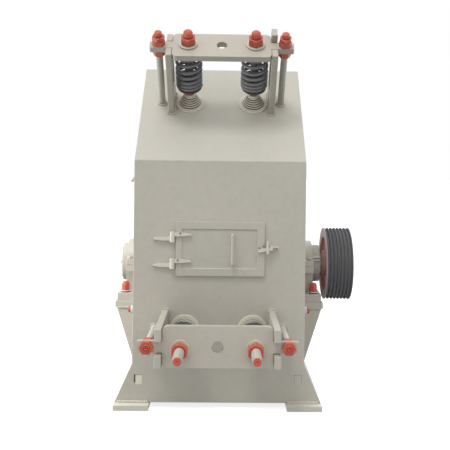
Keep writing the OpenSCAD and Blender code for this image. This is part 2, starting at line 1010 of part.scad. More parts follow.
// Tension sets. Each of these is drawn in the frame of one set

module set_forks() {
  for (side = [-1, 1])
    translate([side * fork_x - fork_t / 2, -fork_w / 2, 0])
      difference() {
        cube([fork_t, fork_w, fork_l]);
        translate([-cut, (fork_w - fork_slot_w) / 2, fork_slot_z])
          cube([fork_t + 2 * cut, fork_slot_w, fork_l]);
      }
}

// Three of the four arms on the roof end level with the cross plate
module upper_forks() {
  color(paint)
    upper_set()
      difference() {
        set_forks();
        for (arm = [[-1, -1], [-1, 1], [1, -1]])
          translate([arm[0] * fork_x, arm[1] * fork_w / 2, short_arm_l + fork_l / 2])
            cube([2 * fork_t, fork_w, fork_l], center = true);
      }
}

module lower_forks() {
  color(paint)
    lower_plate_line()
      set_forks();
}

module set_cross_plate(above_rods) {
  translate([0, 0, plate_z])
    linear_extrude(plate_t)
      difference() {
        union() {
          rounded_rectangle(plate_l, plate_w, plate_corner);
          rounded_rectangle(2 * tongue_x, tongue_w, tongue_corner);
        }
        circle(jack_hole_r);
        for (side = [-1, 1]) {
          translate([side * rod_x, -above_rods])
            circle(rod_hole_r);
          translate([side * stud_x, 0])
            circle(stud_d / 2 + run);
        }
      }
}

module upper_cross_plate() {
  color(paint)
    upper_set()
      set_cross_plate(0);
}

module lower_cross_plate() {
  color(paint)
    lower_plate_line()
      set_cross_plate(lower_plate_up);
}

module set_studs(stud_end) {
  for (side = [-1, 1])
    translate([side * stud_x, 0, 0])
      cylinder(d = stud_d, h = plate_top + stud_end);
}

module studs() {
  color(paint) {
    upper_set()
      set_studs(upper_stud_end);
    lower_plate_line()
      set_studs(lower_stud_end);
  }
}

module set_stud_nuts() {
  for (side = [-1, 1], z = [plate_z - stud_nut_h, plate_top])
    translate([side * stud_x, 0, z])
      nut(stud_nut_af, stud_nut_h, stud_d / 2 + slip);
}

module set_lock_nuts() {
  for (side = [-1, 1])
    translate([side * stud_x, 0, plate_top + stud_nut_h + slip])
      rotate(20)
        nut(stud_nut_af, lock_nut_h, stud_d / 2 + slip);
}

module stud_nuts() {
  color(signal_red) {
    upper_set() {
      set_stud_nuts();
      set_lock_nuts();
    }
    lower_plate_line()
      set_stud_nuts();
  }
}

module set_rod_washers() {
  for (side = [-1, 1])
    translate([side * rod_x, 0, plate_top])
      ring(washer_d / 2, washer_t, rod_hole_r);
}

module rod_washers() {
  color(paint) {
    upper_set()
      set_rod_washers();
    lower_set()
      set_rod_washers();
  }
}

// Stepped bellows seal around each rod, standing on the housing
function bellows_ring_r(i) = bellows_r + (neck_r - bellows_r) * i / bellows_n;

module set_rod_seals() {
  neck_z = seal_foot_t + bellows_n * bellows_h;
  for (side = [-1, 1])
    translate([side * rod_x, 0, 0])
      difference() {
        union() {
          cylinder(r = seal_foot_r, h = seal_foot_t);
          for (i = [0:bellows_n - 1])
            translate([0, 0, seal_foot_t + i * bellows_h])
              cylinder(r = bellows_ring_r(i), h = bellows_h);
          translate([0, 0, neck_z])
            cylinder(r = neck_r, h = neck_h);
        }
        translate([0, 0, -cut])
          cylinder(r = rod_d / 2 + run, h = seal_h + 2 * cut);
      }
}

module rod_seals() {
  color(paint) {
    upper_set()
      set_rod_seals();
    lower_set()
      set_rod_seals();
  }
}

// Height of the wire's middle after q coils: closed end coils, and open ones between them
function coil_z(q) =
  wire_d / 2 + (
    q < 1 ? q * end_pitch
    : q > coil_n - 1 ? spring_l - wire_d - (coil_n - q) * end_pitch
    : end_pitch + (q - 1) * mid_pitch
  );

function wire_ring(q) =
  let (
    a = 360 * q,
    outwards = [cos(a), sin(a), 0],
    middle = [coil_r * cos(a), coil_r * sin(a), coil_z(q)]
  )
  [
    for (j = [0:wire_sides - 1])
      let (b = 360 * j / wire_sides)
      middle + wire_d / 2 * (cos(b) * outwards + sin(b) * [0, 0, 1])
  ];

module spring() {
  rings = coil_n * coil_steps;
  points = [for (i = [0:rings], p = wire_ring(i / coil_steps)) p];
  side_faces = [
    for (i = [0:rings - 1], j = [0:wire_sides - 1])
      let (
        k = (j + 1) % wire_sides,
        a = i * wire_sides + j,
        b = i * wire_sides + k,
        c = a + wire_sides,
        d = b + wire_sides
      )
      each [[a, c, b], [b, c, d]]
  ];
  first_cap = [for (j = [0:wire_sides - 1]) j];
  last_cap = [for (j = [wire_sides - 1:-1:0]) rings * wire_sides + j];
  polyhedron(points, concat(side_faces, [first_cap, last_cap]));
}

module set_springs() {
  for (side = [-1, 1])
    translate([side * rod_x, 0, spring_z])
      spring();
}

module upper_springs() {
  color(black_oxide)
    upper_set()
      set_springs();
}

module lower_springs() {
  color(black_oxide)
    lower_set()
      set_springs();
}

// Rod with an eye inside the housing, whose slot lets the curtain's pin swing a little
module set_rods(rod_end) {
  rod_top = plate_top + rod_end;
  eye_top = eye_half_w + 8 - rod_pin_in;
  hole_r = rod_pin_r + eye_play;
  for (side = [-1, 1])
    translate([side * rod_x, 0, 0])
      difference() {
        union() {
          translate([0, 0, eye_top - cut])
            cylinder(d = rod_d, h = rod_top - tip_chamfer - eye_top + cut);
          translate([0, 0, rod_top - tip_chamfer])
            cylinder(d1 = rod_d, d2 = rod_d - 2 * tip_chamfer, h = tip_chamfer);
          translate([-eye_t / 2, -eye_half_w, -rod_pin_in - eye_end])
            cube([eye_t, 2 * eye_half_w, eye_top + rod_pin_in + eye_end]);
        }
        for (y = [-eye_slot, eye_slot])
          translate([-eye_t, y, -rod_pin_in])
            rotate([0, 90, 0])
              cylinder(r = hole_r, h = 2 * eye_t);
        translate([-eye_t, -eye_slot, -rod_pin_in - hole_r])
          cube([2 * eye_t, 2 * eye_slot, 2 * hole_r]);
      }
}

module upper_rods() {
  color(paint)
    upper_set()
      set_rods(upper_rod_end);
}

module lower_rods() {
  color(paint)
    lower_set()
      set_rods(lower_rod_end);
}

module set_rod_nuts() {
  for (side = [-1, 1])
    translate([side * rod_x, 0, 0]) {
      translate([0, 0, washer_top])
        rotate(30)
          nut(rod_nut_af, rod_nut_h, rod_d / 2 + slip);
      translate([0, 0, collar_z])
        ring(collar_r, collar_h, rod_d / 2 + slip);
    }
}

module upper_rod_nuts() {
  color(signal_red)
    upper_set()
      set_rod_nuts();
}

module lower_rod_nuts() {
  color(signal_red)
    lower_set()
      set_rod_nuts();
}

module set_spring_seats() {
  for (side = [-1, 1])
    translate([side * rod_x, 0, seat_z])
      ring(seat_r, seat_t, rod_d / 2 + slip);
}

module upper_spring_seats() {
  color(black_oxide)
    upper_set()
      set_spring_seats();
}

module lower_spring_seats() {
  color(black_oxide)
    lower_set()
      set_spring_seats();
}

// Impact curtains, in the frame of their set: a thick plate hung on a pivot shaft, with lugs
// and pins on its back for the rods. Both ends are given as [up, out] of the set's frame
module curtain(pivot, foot) {
  along = (foot - pivot) / norm(foot - pivot);
  side = [-along[1], along[0]] * curtain_t / 2;
  boss_r = pivot_r + pivot_boss_t;
  lug_r = rod_pin_r + lug_wall;
  plate_out = pivot[1] + (foot[1] - pivot[1]) * pivot[0] / (pivot[0] - foot[0]);
  lug_x = eye_t / 2 + lug_gap;
  pin_l = 2 * (lug_x + lug_t);
  difference() {
    union() {
      across(curtain_w)
        polygon([pivot + side, foot + side, foot - side, pivot - side]);
      translate([-curtain_w / 2, pivot[0], pivot[1]])
        rotate([0, 90, 0])
          cylinder(r = boss_r, h = curtain_w);
      for (rod = [-1, 1])
        translate([rod * rod_x, 0, 0]) {
          for (lug = [-1, 1])
            translate([lug * (lug_x + lug_t / 2), 0, 0]) {
              translate([-lug_t / 2, -lug_r, plate_out])
                cube([lug_t, 2 * lug_r, -rod_pin_in - plate_out]);
              translate([-lug_t / 2, 0, -rod_pin_in])
                rotate([0, 90, 0])
                  cylinder(r = lug_r, h = lug_t);
            }
          translate([-pin_l / 2, 0, -rod_pin_in])
            rotate([0, 90, 0])
              cylinder(r = rod_pin_r, h = pin_l);
        }
    }
    translate([-curtain_w / 2 - cut, pivot[0], pivot[1]])
      rotate([0, 90, 0])
        cylinder(r = pivot_r + run, h = curtain_w + 2 * cut);
  }
}

upper_pivot = [upper_pivot_up, -upper_pivot_in];
lower_pivot = [lower_pivot_up, -lower_pivot_in];

module upper_curtain() {
  color(bare_steel)
    upper_set()
      curtain(upper_pivot, [-upper_foot_down, -upper_foot_in]);
}

module lower_curtain() {
  color(bare_steel)
    lower_set()
      curtain(lower_pivot, [-lower_foot_down, -lower_foot_in]);
}

module pivot_shaft(pivot) {
  translate([-inner_half_w, pivot[0], pivot[1]])
    rotate([0, 90, 0])
      cylinder(r = pivot_r, h = 2 * inner_half_w);
}

module curtain_pivots() {
  color(bare_steel) {
    upper_set()
      pivot_shaft(upper_pivot);
    lower_set()
      pivot_shaft(lower_pivot);
  }
}

door_wall();
sloped_roof();
top_plate();
feed_wall();
feed_flange();
feed_plate();
left_side_wall();
right_side_wall();
base_rails();
left_pedestal();
right_pedestal();
side_lug();
left_bearing_base();
right_bearing_base();
left_bearing_cap();
right_bearing_cap();
bearing_covers();
hold_down_bolts();
hold_down_nuts();
shaft();
rotor_body();
blow_bars();
pulley();
door_leaf();
door_straps();
door_handle();
door_latch();
hinge_straps();
latch_keeper();
upper_forks();
lower_forks();
upper_cross_plate();
lower_cross_plate();
studs();
stud_nuts();
rod_washers();
rod_seals();
upper_springs();
lower_springs();
upper_rods();
lower_rods();
upper_rod_nuts();
lower_rod_nuts();
upper_spring_seats();
lower_spring_seats();
upper_curtain();
lower_curtain();
curtain_pivots();
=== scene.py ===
from math import cos, pi, radians, sin

import bpy
from mathutils import Matrix, Vector


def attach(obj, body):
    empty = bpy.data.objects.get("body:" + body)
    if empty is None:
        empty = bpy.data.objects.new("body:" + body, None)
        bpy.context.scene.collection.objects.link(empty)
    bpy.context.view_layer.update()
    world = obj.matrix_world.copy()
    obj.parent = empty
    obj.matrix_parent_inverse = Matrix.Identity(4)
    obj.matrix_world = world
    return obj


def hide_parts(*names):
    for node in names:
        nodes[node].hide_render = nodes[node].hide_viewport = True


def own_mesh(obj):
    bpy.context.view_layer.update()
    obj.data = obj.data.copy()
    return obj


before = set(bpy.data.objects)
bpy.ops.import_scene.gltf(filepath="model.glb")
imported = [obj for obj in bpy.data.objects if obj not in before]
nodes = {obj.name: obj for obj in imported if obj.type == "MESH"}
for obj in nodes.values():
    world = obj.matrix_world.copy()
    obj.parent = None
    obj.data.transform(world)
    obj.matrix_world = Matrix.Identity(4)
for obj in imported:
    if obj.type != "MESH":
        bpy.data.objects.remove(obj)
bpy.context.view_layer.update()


# Housing plates: hot-rolled steel plate, flame cut and welded into a box under a sloped roof.
# The cut edges are ground round, and the whole box is sprayed with a warm grey alkyd enamel.
HOUSING_PLATES = (
    "door_wall", "sloped_roof", "top_plate", "feed_wall", "feed_flange",
    "left_side_wall", "right_side_wall", "side_lug",
)
GROUND_EDGE = 0.0025
HOUSING_GREY = "#B8B4A8"
# Pale tone the enamels take on up-facing faces and edges: dust and wear, and painted light.
PALE_DUST_WEAR_AND_LIGHT = "#D6D3C8"
# Dark tone laid on down-facing faces as painted shade.
UNDERSIDE_SHADE = "#4A463C"


def linear(colour):
    """A linear RGBA colour from an sRGB hex value."""
    channels = [int(colour[i : i + 2], 16) / 255 for i in (1, 3, 5)]
    return [c / 12.92 if c <= 0.04045 else ((c + 0.055) / 1.055) ** 2.4 for c in channels] + [1.0]


def add_node(tree, kind, settings=None, links=None, **properties):
    """Adds a node, sets its properties and its sockets, and links outputs to its inputs."""
    node = tree.nodes.new(kind)
    for name, value in properties.items():
        setattr(node, name, value)
    for socket, value in (settings or {}).items():
        node.inputs[socket].default_value = value
    for socket, output in (links or {}).items():
        tree.links.new(output, node.inputs[socket])
    return node


def enamel(
    name, colour, dust_wear_and_light_colour, cloud=0.45, grain=0.004, grain_depth=0.00025, gloss=0.40, underside_shade=0.35
):
    """Sprayed alkyd enamel. Its tone is slightly cloudy, and orange peel, drawn coarser than real
    so that it shows, breaks up its soft gloss. It is paler where it looks up, partly with stone dust
    and partly as painted light from above, darker where it looks down, as painted shade, and paler
    on edges, partly where paint runs thin and partly as a painted highlight."""
    material = bpy.data.materials.new(name)
    material.use_nodes = True
    tree = material.node_tree
    shader = tree.nodes["Principled BSDF"]
    shader.inputs["IOR"].default_value = 1.5
    place = add_node(tree, "ShaderNodeTexCoord").outputs["Object"]
    clouds = add_node(
        tree, "ShaderNodeTexNoise", {"Scale": 1 / cloud, "Detail": 3.0}, {"Vector": place}
    )
    mottle = add_node(
        tree, "ShaderNodeTexNoise", {"Scale": 1 / 0.03, "Detail": 5.0}, {"Vector": place}
    )
    cloud_tone = add_node(
        tree,
        "ShaderNodeMapRange",
        {"From Min": 0.3, "From Max": 0.7, "To Min": 0.97, "To Max": 1.03},
        {"Value": clouds.outputs["Fac"]},
    )
    tone = add_node(
        tree,
        "ShaderNodeMapRange",
        {"From Min": 0.3, "From Max": 0.7, "To Min": 0.965, "To Max": 1.035},
        {"Value": mottle.outputs["Fac"]},
    )
    tone = add_node(
        tree,
        "ShaderNodeMath",
        links={0: cloud_tone.outputs["Result"], 1: tone.outputs["Result"]},
        operation="MULTIPLY",
    )
    coat = add_node(
        tree,
        "ShaderNodeHueSaturation",
        {"Color": linear(colour)},
        {"Value": tone.outputs["Value"]},
    )
    flat = add_node(tree, "ShaderNodeNewGeometry")
    looks_up = add_node(tree, "ShaderNodeSeparateXYZ", links={0: flat.outputs["Normal"]})
    # Up-facing faces turn paler: partly stone dust, partly painted light from above.
    dust_and_top_light = add_node(
        tree,
        "ShaderNodeMapRange",
        {"From Min": 0.3, "From Max": 1.0, "To Min": 0.0, "To Max": 0.65},
        {"Value": looks_up.outputs["Z"]},
    )
    coat = add_node(
        tree,
        "ShaderNodeMix",
        {7: linear(dust_wear_and_light_colour)},
        {0: dust_and_top_light.outputs["Result"], 6: coat.outputs["Color"]},
        data_type="RGBA",
    )
    # Down-facing faces turn darker: painted shade.
    underside_shade_mask = add_node(
        tree,
        "ShaderNodeMapRange",
        {"From Min": -0.2, "From Max": -0.7, "To Min": 0.0, "To Max": underside_shade},
        {"Value": looks_up.outputs["Z"]},
    )
    coat = add_node(
        tree,
        "ShaderNodeMix",
        {7: linear(UNDERSIDE_SHADE)},
        {0: underside_shade_mask.outputs["Result"], 6: coat.outputs[2]},
        data_type="RGBA",
    )
    # Edges turn paler: partly paint rubbed thin, partly a painted highlight.
    rounded = add_node(tree, "ShaderNodeBevel", {"Radius": 0.005}, samples=6)
    facing = add_node(
        tree,
        "ShaderNodeVectorMath",
        links={0: rounded.outputs["Normal"], 1: flat.outputs["Normal"]},
        operation="DOT_PRODUCT",
    )
    edge = add_node(
        tree,
        "ShaderNodeMapRange",
        {"From Min": 0.80, "From Max": 0.99, "To Min": 0.75, "To Max": 0.0},
        {"Value": facing.outputs["Value"]},
    )
    wear_and_highlight = add_node(
        tree,
        "ShaderNodeMath",
        links={0: edge.outputs["Result"], 1: mottle.outputs["Fac"]},
        operation="MULTIPLY",
    )
    colours = add_node(
        tree,
        "ShaderNodeMix",
        {7: linear(dust_wear_and_light_colour)},
        {0: wear_and_highlight.outputs["Value"], 6: coat.outputs[2]},
        data_type="RGBA",
    )
    sheen = add_node(
        tree,
        "ShaderNodeMapRange",
        {"From Min": 0.3, "From Max": 0.7, "To Min": gloss - 0.06, "To Max": gloss + 0.08},
        {"Value": mottle.outputs["Fac"]},
    )
    peel = add_node(
        tree, "ShaderNodeTexNoise", {"Scale": 1 / grain, "Detail": 2.0}, {"Vector": place}
    )
    bump = add_node(
        tree,
        "ShaderNodeBump",
        {"Strength": 0.5, "Distance": grain_depth},
        {"Height": peel.outputs["Fac"]},
    )
    tree.links.new(colours.outputs[2], shader.inputs["Base Color"])
    tree.links.new(sheen.outputs["Result"], shader.inputs["Roughness"])
    tree.links.new(bump.outputs["Normal"], shader.inputs["Normal"])
    return material


def grind_edges(names, width):
    """Rounds the edges of CAD plates: joins their loose triangles, merges flat faces, bevels,
    and keeps the shading of the flat faces even."""
    for name in names:
        join = nodes[name].modifiers.new("join", "WELD")
        join.merge_threshold = 0.00001
        flatten = nodes[name].modifiers.new("flatten", "DECIMATE")
        flatten.decimate_type = "DISSOLVE"
        flatten.angle_limit = radians(1)
        edges = nodes[name].modifiers.new("edges", "BEVEL")
        edges.width = width
        edges.segments = 2
        edges.limit_method = "ANGLE"
        edges.angle_limit = radians(40)
        even = nodes[name].modifiers.new("even", "WEIGHTED_NORMAL")
        even.keep_sharp = True


def paint(names, material):
    """Gives CAD pieces a material."""
    for name in names:
        nodes[name].material_slots[0].material = material


housing_enamel = enamel("warm_grey_enamel", HOUSING_GREY, PALE_DUST_WEAR_AND_LIGHT)
paint(HOUSING_PLATES, housing_enamel)
grind_edges(HOUSING_PLATES, GROUND_EDGE)
rail_enamel = enamel("pale_rail_enamel", "#CCC8BB", "#E0DDD3", cloud=0.15)
paint(["base_rails"], rail_enamel)
grind_edges(["base_rails"], GROUND_EDGE)


# Housing welds: fillet beads of filler metal, laid by hand where plates meet and left as laid.
# They were painted over with the housing, so only their ripples show.
BEAD_RADIUS = 0.006
BEAD_STEP = 0.0055


def join_pieces(pieces, name):
    """Joins pieces into one, with its place in its mesh and its object at the origin."""
    bpy.ops.object.select_all(action="DESELECT")
    for piece in pieces:
        piece.select_set(True)
    bpy.context.view_layer.objects.active = pieces[0]
    bpy.ops.object.transform_apply(location=True, rotation=True, scale=True)
    bpy.ops.object.join()
    joined = bpy.context.object
    joined.name = name
    joined.data.name = name
    return joined


def weld_beads(name, seams, radius=BEAD_RADIUS, step=BEAD_STEP):
    """Lays a row of overlapping ripples along each seam, from its start to its end."""
    rows = []
    for start, end in seams:
        run = Vector(end) - Vector(start)
        bpy.ops.object.select_all(action="DESELECT")
        bpy.ops.mesh.primitive_uv_sphere_add(segments=8, ring_count=5, radius=radius)
        row = bpy.context.object
        bpy.ops.object.mode_set(mode="EDIT")
        bpy.ops.mesh.select_all(action="SELECT")
        bpy.ops.transform.resize(value=(0.75, 1.0, 1.0))
        bpy.ops.object.mode_set(mode="OBJECT")
        bpy.ops.object.shade_smooth()
        ripples = row.modifiers.new("ripples", "ARRAY")
        ripples.use_relative_offset = False
        ripples.use_constant_offset = True
        ripples.constant_offset_displace = (step, 0, 0)
        ripples.count = max(2, round(run.length / step))
        bpy.ops.object.modifier_apply(modifier="ripples")
        row.rotation_euler = run.to_track_quat("X", "Z").to_euler()
        row.location = start
        rows.append(row)
    return join_pieces(rows, name)


def finish_piece(piece, material, body, slot, *replaced):
    """Paints a finished piece, sets it on its body and says which CAD nodes it stands for."""
    piece.data.materials.clear()
    piece.data.materials.append(material)
    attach(piece, body)
    if replaced:
        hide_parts(*replaced)
    return piece


SIDE_X = 0.410
CORNER_X = SIDE_X - 0.003
RAIL_X = SIDE_X + 0.001
RAIL_Z = 0.026
LUG_Y = (-0.598, -0.492)
LUG_Z = (1.072, 1.106)
ROOF_EDGE_X = 0.402
ROOF_EDGE = (-0.6350, 1.1757)
FLANGE_X = 0.404
FLANGE_Y = 0.5215
FLANGE_Z = (1.184, 1.636)
DOOR_CORNER_Y = -0.621
FEED_CORNER_Y = 0.501
seams = [[(-SIDE_X, y, z) for y in LUG_Y] for z in LUG_Z]
seams.append(((-ROOF_EDGE_X, *ROOF_EDGE), (ROOF_EDGE_X, *ROOF_EDGE)))
seams += [((-FLANGE_X, FLANGE_Y, z), (FLANGE_X, FLANGE_Y, z)) for z in FLANGE_Z]
for side in (-1, 1):
    corner, rail = side * CORNER_X, side * RAIL_X
    seams += [
        ((corner, DOOR_CORNER_Y, 0.225), (corner, DOOR_CORNER_Y, 1.165)),
        ((corner, FEED_CORNER_Y, 0.035), (corner, FEED_CORNER_Y, 1.655)),
        ((rail, -0.610, RAIL_Z), (rail, 0.510, RAIL_Z)),
    ]
housing_welds = weld_beads("housing_welds", seams)
finish_piece(housing_welds, housing_enamel, "housing", "housing_paint")
FOOT_X = (0.338, 0.486)
FOOT_SEAM = (-0.6425, 0.0285)
foot_seams = [
    ((side * FOOT_X[0], *FOOT_SEAM), (side * FOOT_X[1], *FOOT_SEAM)) for side in (-1, 1)
]
foot_welds = weld_beads("foot_welds", foot_seams, radius=0.008, step=0.009)
finish_piece(foot_welds, rail_enamel, "housing", "housing_paint")


# Slot plates: thin sheets that close the two slots in the foot of the door wall.
# They are bent up at their edges and let into the slots.
# The left one is pale cream, as painted light seen through its slot; the right one is sprayed with the
# wall.
SLOT_Z = 0.1325
SHEET = 0.002


def tray(name, size, place):
    """A sheet bent up along its edges: a cube, inset on one face and pushed in through its depth."""
    bpy.ops.object.select_all(action="DESELECT")
    bpy.ops.mesh.primitive_cube_add(size=1)
    piece = bpy.context.object
    piece.name = name
    piece.dimensions = size
    bpy.ops.object.transform_apply(location=False, rotation=False, scale=True)
    bpy.ops.object.mode_set(mode="EDIT")
    bpy.ops.mesh.select_all(action="DESELECT")
    bpy.ops.object.mode_set(mode="OBJECT")
    for face in piece.data.polygons:
        face.select = face.normal.y > 0.9
    bpy.ops.object.mode_set(mode="EDIT")
    bpy.ops.mesh.inset(thickness=SHEET)
    bpy.ops.transform.translate(value=(0, SHEET - size[1], 0))
    bpy.ops.mesh.select_all(action="SELECT")
    bpy.ops.mesh.normals_make_consistent(inside=False)
    bpy.ops.object.mode_set(mode="OBJECT")
    edges = piece.modifiers.new("edges", "BEVEL")
    edges.width = 0.0008
    edges.segments = 2
    bpy.ops.object.modifier_apply(modifier="edges")
    piece.location = place
    return join_pieces([piece], name)


# Pale cream on the left plate: painted light for the brightness seen through the slot.
slot_light_paint = enamel("cream_plate_painted_light", "#DBD9C2", "#E8E6D4", cloud=0.05)
left_plate = tray("left_slot_plate", (0.0325, 0.010, 0.0475), (-0.3768, -0.6315, SLOT_Z))
finish_piece(left_plate, slot_light_paint, "housing", "housing_paint")
right_plate = tray("right_slot_plate", (0.0352, 0.010, 0.0482), (0.382, -0.6346, SLOT_Z))
finish_piece(right_plate, housing_enamel, "housing", "housing_paint")


# Bearing pedestals: a thick plate on three gussets, welded to each side wall.
# They were sprayed together with the housing.
PEDESTALS = ("left_pedestal", "right_pedestal")
GUSSET_FACES = (-0.2295, -0.2065, -0.0115, 0.0115, 0.2065, 0.2295)
GUSSET_Z = (0.04, 0.38)
GUSSET_X = (0.416, 0.537)
PEDESTAL_UNDER = 0.395
PEDESTAL_TOP = 0.4285
PEDESTAL_Y = 0.224
paint(PEDESTALS, housing_enamel)
grind_edges(PEDESTALS, GROUND_EDGE)
seams = []
for side in (-1, 1):
    wall, rail = side * SIDE_X, side * RAIL_X
    seams.append(((wall, -PEDESTAL_Y, PEDESTAL_TOP), (wall, PEDESTAL_Y, PEDESTAL_TOP)))
    for y in GUSSET_FACES:
        seams.append([(rail, y, z) for z in GUSSET_Z])
        seams.append([(side * x, y, PEDESTAL_UNDER) for x in GUSSET_X])
pedestal_welds = weld_beads("pedestal_welds", seams)
finish_piece(pedestal_welds, housing_enamel, "housing", "housing_paint")


# Plummer blocks: a cast iron base and cap around each bearing, with turned covers on the outside.
# The enamel lies over the grain of the sand mould, and hexagon bolts hold cap and covers.
BEARINGS = (
    "left_bearing_base", "right_bearing_base", "left_bearing_cap", "right_bearing_cap",
    "bearing_covers",
)
CAST_EDGE = 0.005
AXIS_Z = 0.608


def turned(name, profile, steps=48):
    """Turns a profile of (radius, height) points round the Z axis, as on a lathe."""
    bpy.ops.object.select_all(action="DESELECT")
    bpy.ops.mesh.primitive_plane_add(size=0.002)
    piece = bpy.context.object
    piece.name = name
    bpy.ops.object.mode_set(mode="EDIT")
    bpy.ops.mesh.select_all(action="SELECT")
    bpy.ops.mesh.merge(type="CENTER")
    bpy.ops.transform.translate(value=(profile[0][0], 0, profile[0][1]))
    for (radius, height), (next_radius, next_height) in zip(profile, profile[1:]):
        move = (next_radius - radius, 0, next_height - height)
        bpy.ops.mesh.extrude_vertices_move(TRANSFORM_OT_translate={"value": move})
    bpy.ops.mesh.select_all(action="SELECT")
    bpy.ops.mesh.spin(steps=steps, angle=2 * pi, center=(0, 0, 0), axis=(0, 0, 1))
    bpy.ops.mesh.select_all(action="SELECT")
    bpy.ops.mesh.remove_doubles(threshold=0.000005)
    bpy.ops.mesh.normals_make_consistent(inside=False)
    bpy.ops.object.mode_set(mode="OBJECT")
    bpy.ops.object.shade_smooth_by_angle(angle=radians(35))
    return piece


def cut(piece, tool, operation):
    """Cuts a piece with a tool shape, which is used up."""
    modifier = piece.modifiers.new("cut", "BOOLEAN")
    modifier.operation = operation
    modifier.solver = "EXACT"
    modifier.object = tool
    bpy.context.view_layer.objects.active = piece
    bpy.ops.object.modifier_apply(modifier="cut")
    bpy.data.objects.remove(tool)


def hexagon(name, across_flats, height, bore=0.0):
    """A nut, or without a bore a bolt's head, on Z 0: a hexagon bar with turned chamfers."""
    corner = across_flats / 2 / cos(radians(30))
    chamfer = (corner - across_flats * 0.475) * 0.55
    bpy.ops.object.select_all(action="DESELECT")
    bpy.ops.mesh.primitive_cylinder_add(
        vertices=6, radius=corner, depth=height, location=(0, 0, height / 2)
    )
    piece = bpy.context.object
    piece.name = name
    bpy.ops.object.transform_apply(location=True, rotation=True, scale=True)
    barrel = [
        (0, -0.001 * bool(bore)), (across_flats * 0.475, 0), (corner * 1.01, chamfer),
        (corner * 1.01, height - chamfer), (across_flats * 0.475, height), (0, height + 0.0005),
    ]
    cut(piece, turned("barrel", barrel), "INTERSECT")
    if bore:
        sink = bore * 0.12
        hole = [
            (0, -0.01), (bore + sink, -0.01), (bore + sink, 0), (bore, sink),
            (bore, height - sink), (bore + sink, height), (bore + sink, height + 0.01),
            (0, height + 0.01),
        ]
        cut(piece, turned("hole", hole), "DIFFERENCE")
    bpy.ops.object.shade_smooth_by_angle(angle=radians(35))
    return piece


def copies(master, name, places):
    """Copies a piece to each place, each copy with its own mesh, and joins them into one piece."""
    pieces = []
    for place in places:
        piece = master.copy()
        piece.data = master.data.copy()
        piece.matrix_world = place
        bpy.context.collection.objects.link(piece)
        pieces.append(piece)
    bpy.data.objects.remove(master)
    return join_pieces(pieces, name)


def at(x, y, z):
    """A place without a turn."""
    return Matrix.Translation((x, y, z))


bearing_enamel = enamel(
    "enamel_on_cast_iron", "#B6B2A7", PALE_DUST_WEAR_AND_LIGHT, cloud=0.2, grain=0.007, grain_depth=0.0011
)
paint(BEARINGS, bearing_enamel)
grind_edges(BEARINGS, CAST_EDGE)

CAP_BOLT_AF = 0.024
CAP_BOLT_HEIGHT = 0.010
CAP_TOP = 0.642
places = [
    at(x, y, CAP_TOP) for x in (-0.487, -0.449, 0.449, 0.487) for y in (-0.142, 0.142)
]
washer = [
    (0.0, 0.0), (0.0150, 0.0), (0.0155, 0.0006), (0.0155, 0.0024), (0.0150, 0.003), (0.0, 0.003),
]
cap_washers = copies(turned("washer", washer, 32), "cap_bolt_washers", places)
finish_piece(cap_washers, bearing_enamel, "housing", "bearing_paint")
cap_bolts = copies(
    hexagon("head", CAP_BOLT_AF, CAP_BOLT_HEIGHT),
    "cap_bolts",
    [at(0, 0, 0.0029) @ place for place in places],
)
finish_piece(cap_bolts, bearing_enamel, "housing", "bearing_paint")

COVER_SCREW_AF = 0.015
COVER_SCREW_HEIGHT = 0.005
COVER_SCREW_RADIUS = 0.085
for cover, face, turn in (("right", 0.553, 90), ("left", -0.538, -90)):
    places = []
    for i in range(6):
        angle = radians(60 * i + 54)
        y, z = COVER_SCREW_RADIUS * cos(angle), COVER_SCREW_RADIUS * sin(angle)
        places.append(at(face, y, AXIS_Z + z) @ Matrix.Rotation(radians(turn), 4, "Y"))
    head = hexagon("head", COVER_SCREW_AF, COVER_SCREW_HEIGHT)
    screws = copies(head, cover + "_cover_screws", places)
    finish_piece(screws, bearing_enamel, "housing", "bearing_paint")


# Grease pipes: two short steel pipes that lead from the right block along its cover.
# Each starts in a ball union, screwed into the block, and is painted a paler grey.
GREASE_PIPES = [
    at(0.506, -0.0985, z) @ Matrix.Rotation(radians(90), 4, "Y") for z in (0.652, 0.635)
]
pale_enamel = enamel("pale_grey_enamel", "#CBC9C2", "#DEDCD6", cloud=0.1, gloss=0.32)
pipe = [
    (0.0, -0.004), (0.0060, -0.003), (0.0096, 0.001), (0.0105, 0.006), (0.0092, 0.011),
    (0.0072, 0.0135), (0.0072, 0.0430), (0.0064, 0.0455), (0.0040, 0.0468), (0.0, 0.047),
]
grease_pipes = copies(turned("pipe", pipe, 24), "grease_pipes", GREASE_PIPES)
finish_piece(grease_pipes, pale_enamel, "housing", "bearing_paint")


# Hold-down bolts: each plummer block is clamped to its pedestal by studs, nutted above its foot,
# and by bolts beside the wall, nutted below the pedestal plate.
# Nuts and stud ends are brushed with orange-red enamel, on pale washers; the tails stay pale.
HOLD_STUDS = [at(x, y, 0) for x in (-0.5043, 0.5043) for y in (-0.1757, 0.1757)]
HOLD_BOLTS = [at(x, y, 0) for x in (-0.4517, 0.4517) for y in (-0.1757, 0.1757)]
SOLE_TOP = 0.468
HOLD_AF = 0.041
HOLD_NUT_HEIGHT = 0.022
HOLD_RADIUS = 0.0135
DOME_NUT_AF = 0.038
DOME_NUT_HEIGHT = 0.036
nut_enamel = enamel(
    "orange_red_enamel", "#BF5238", "#D67259", cloud=0.06, grain=0.003, grain_depth=0.0004, gloss=0.42
)


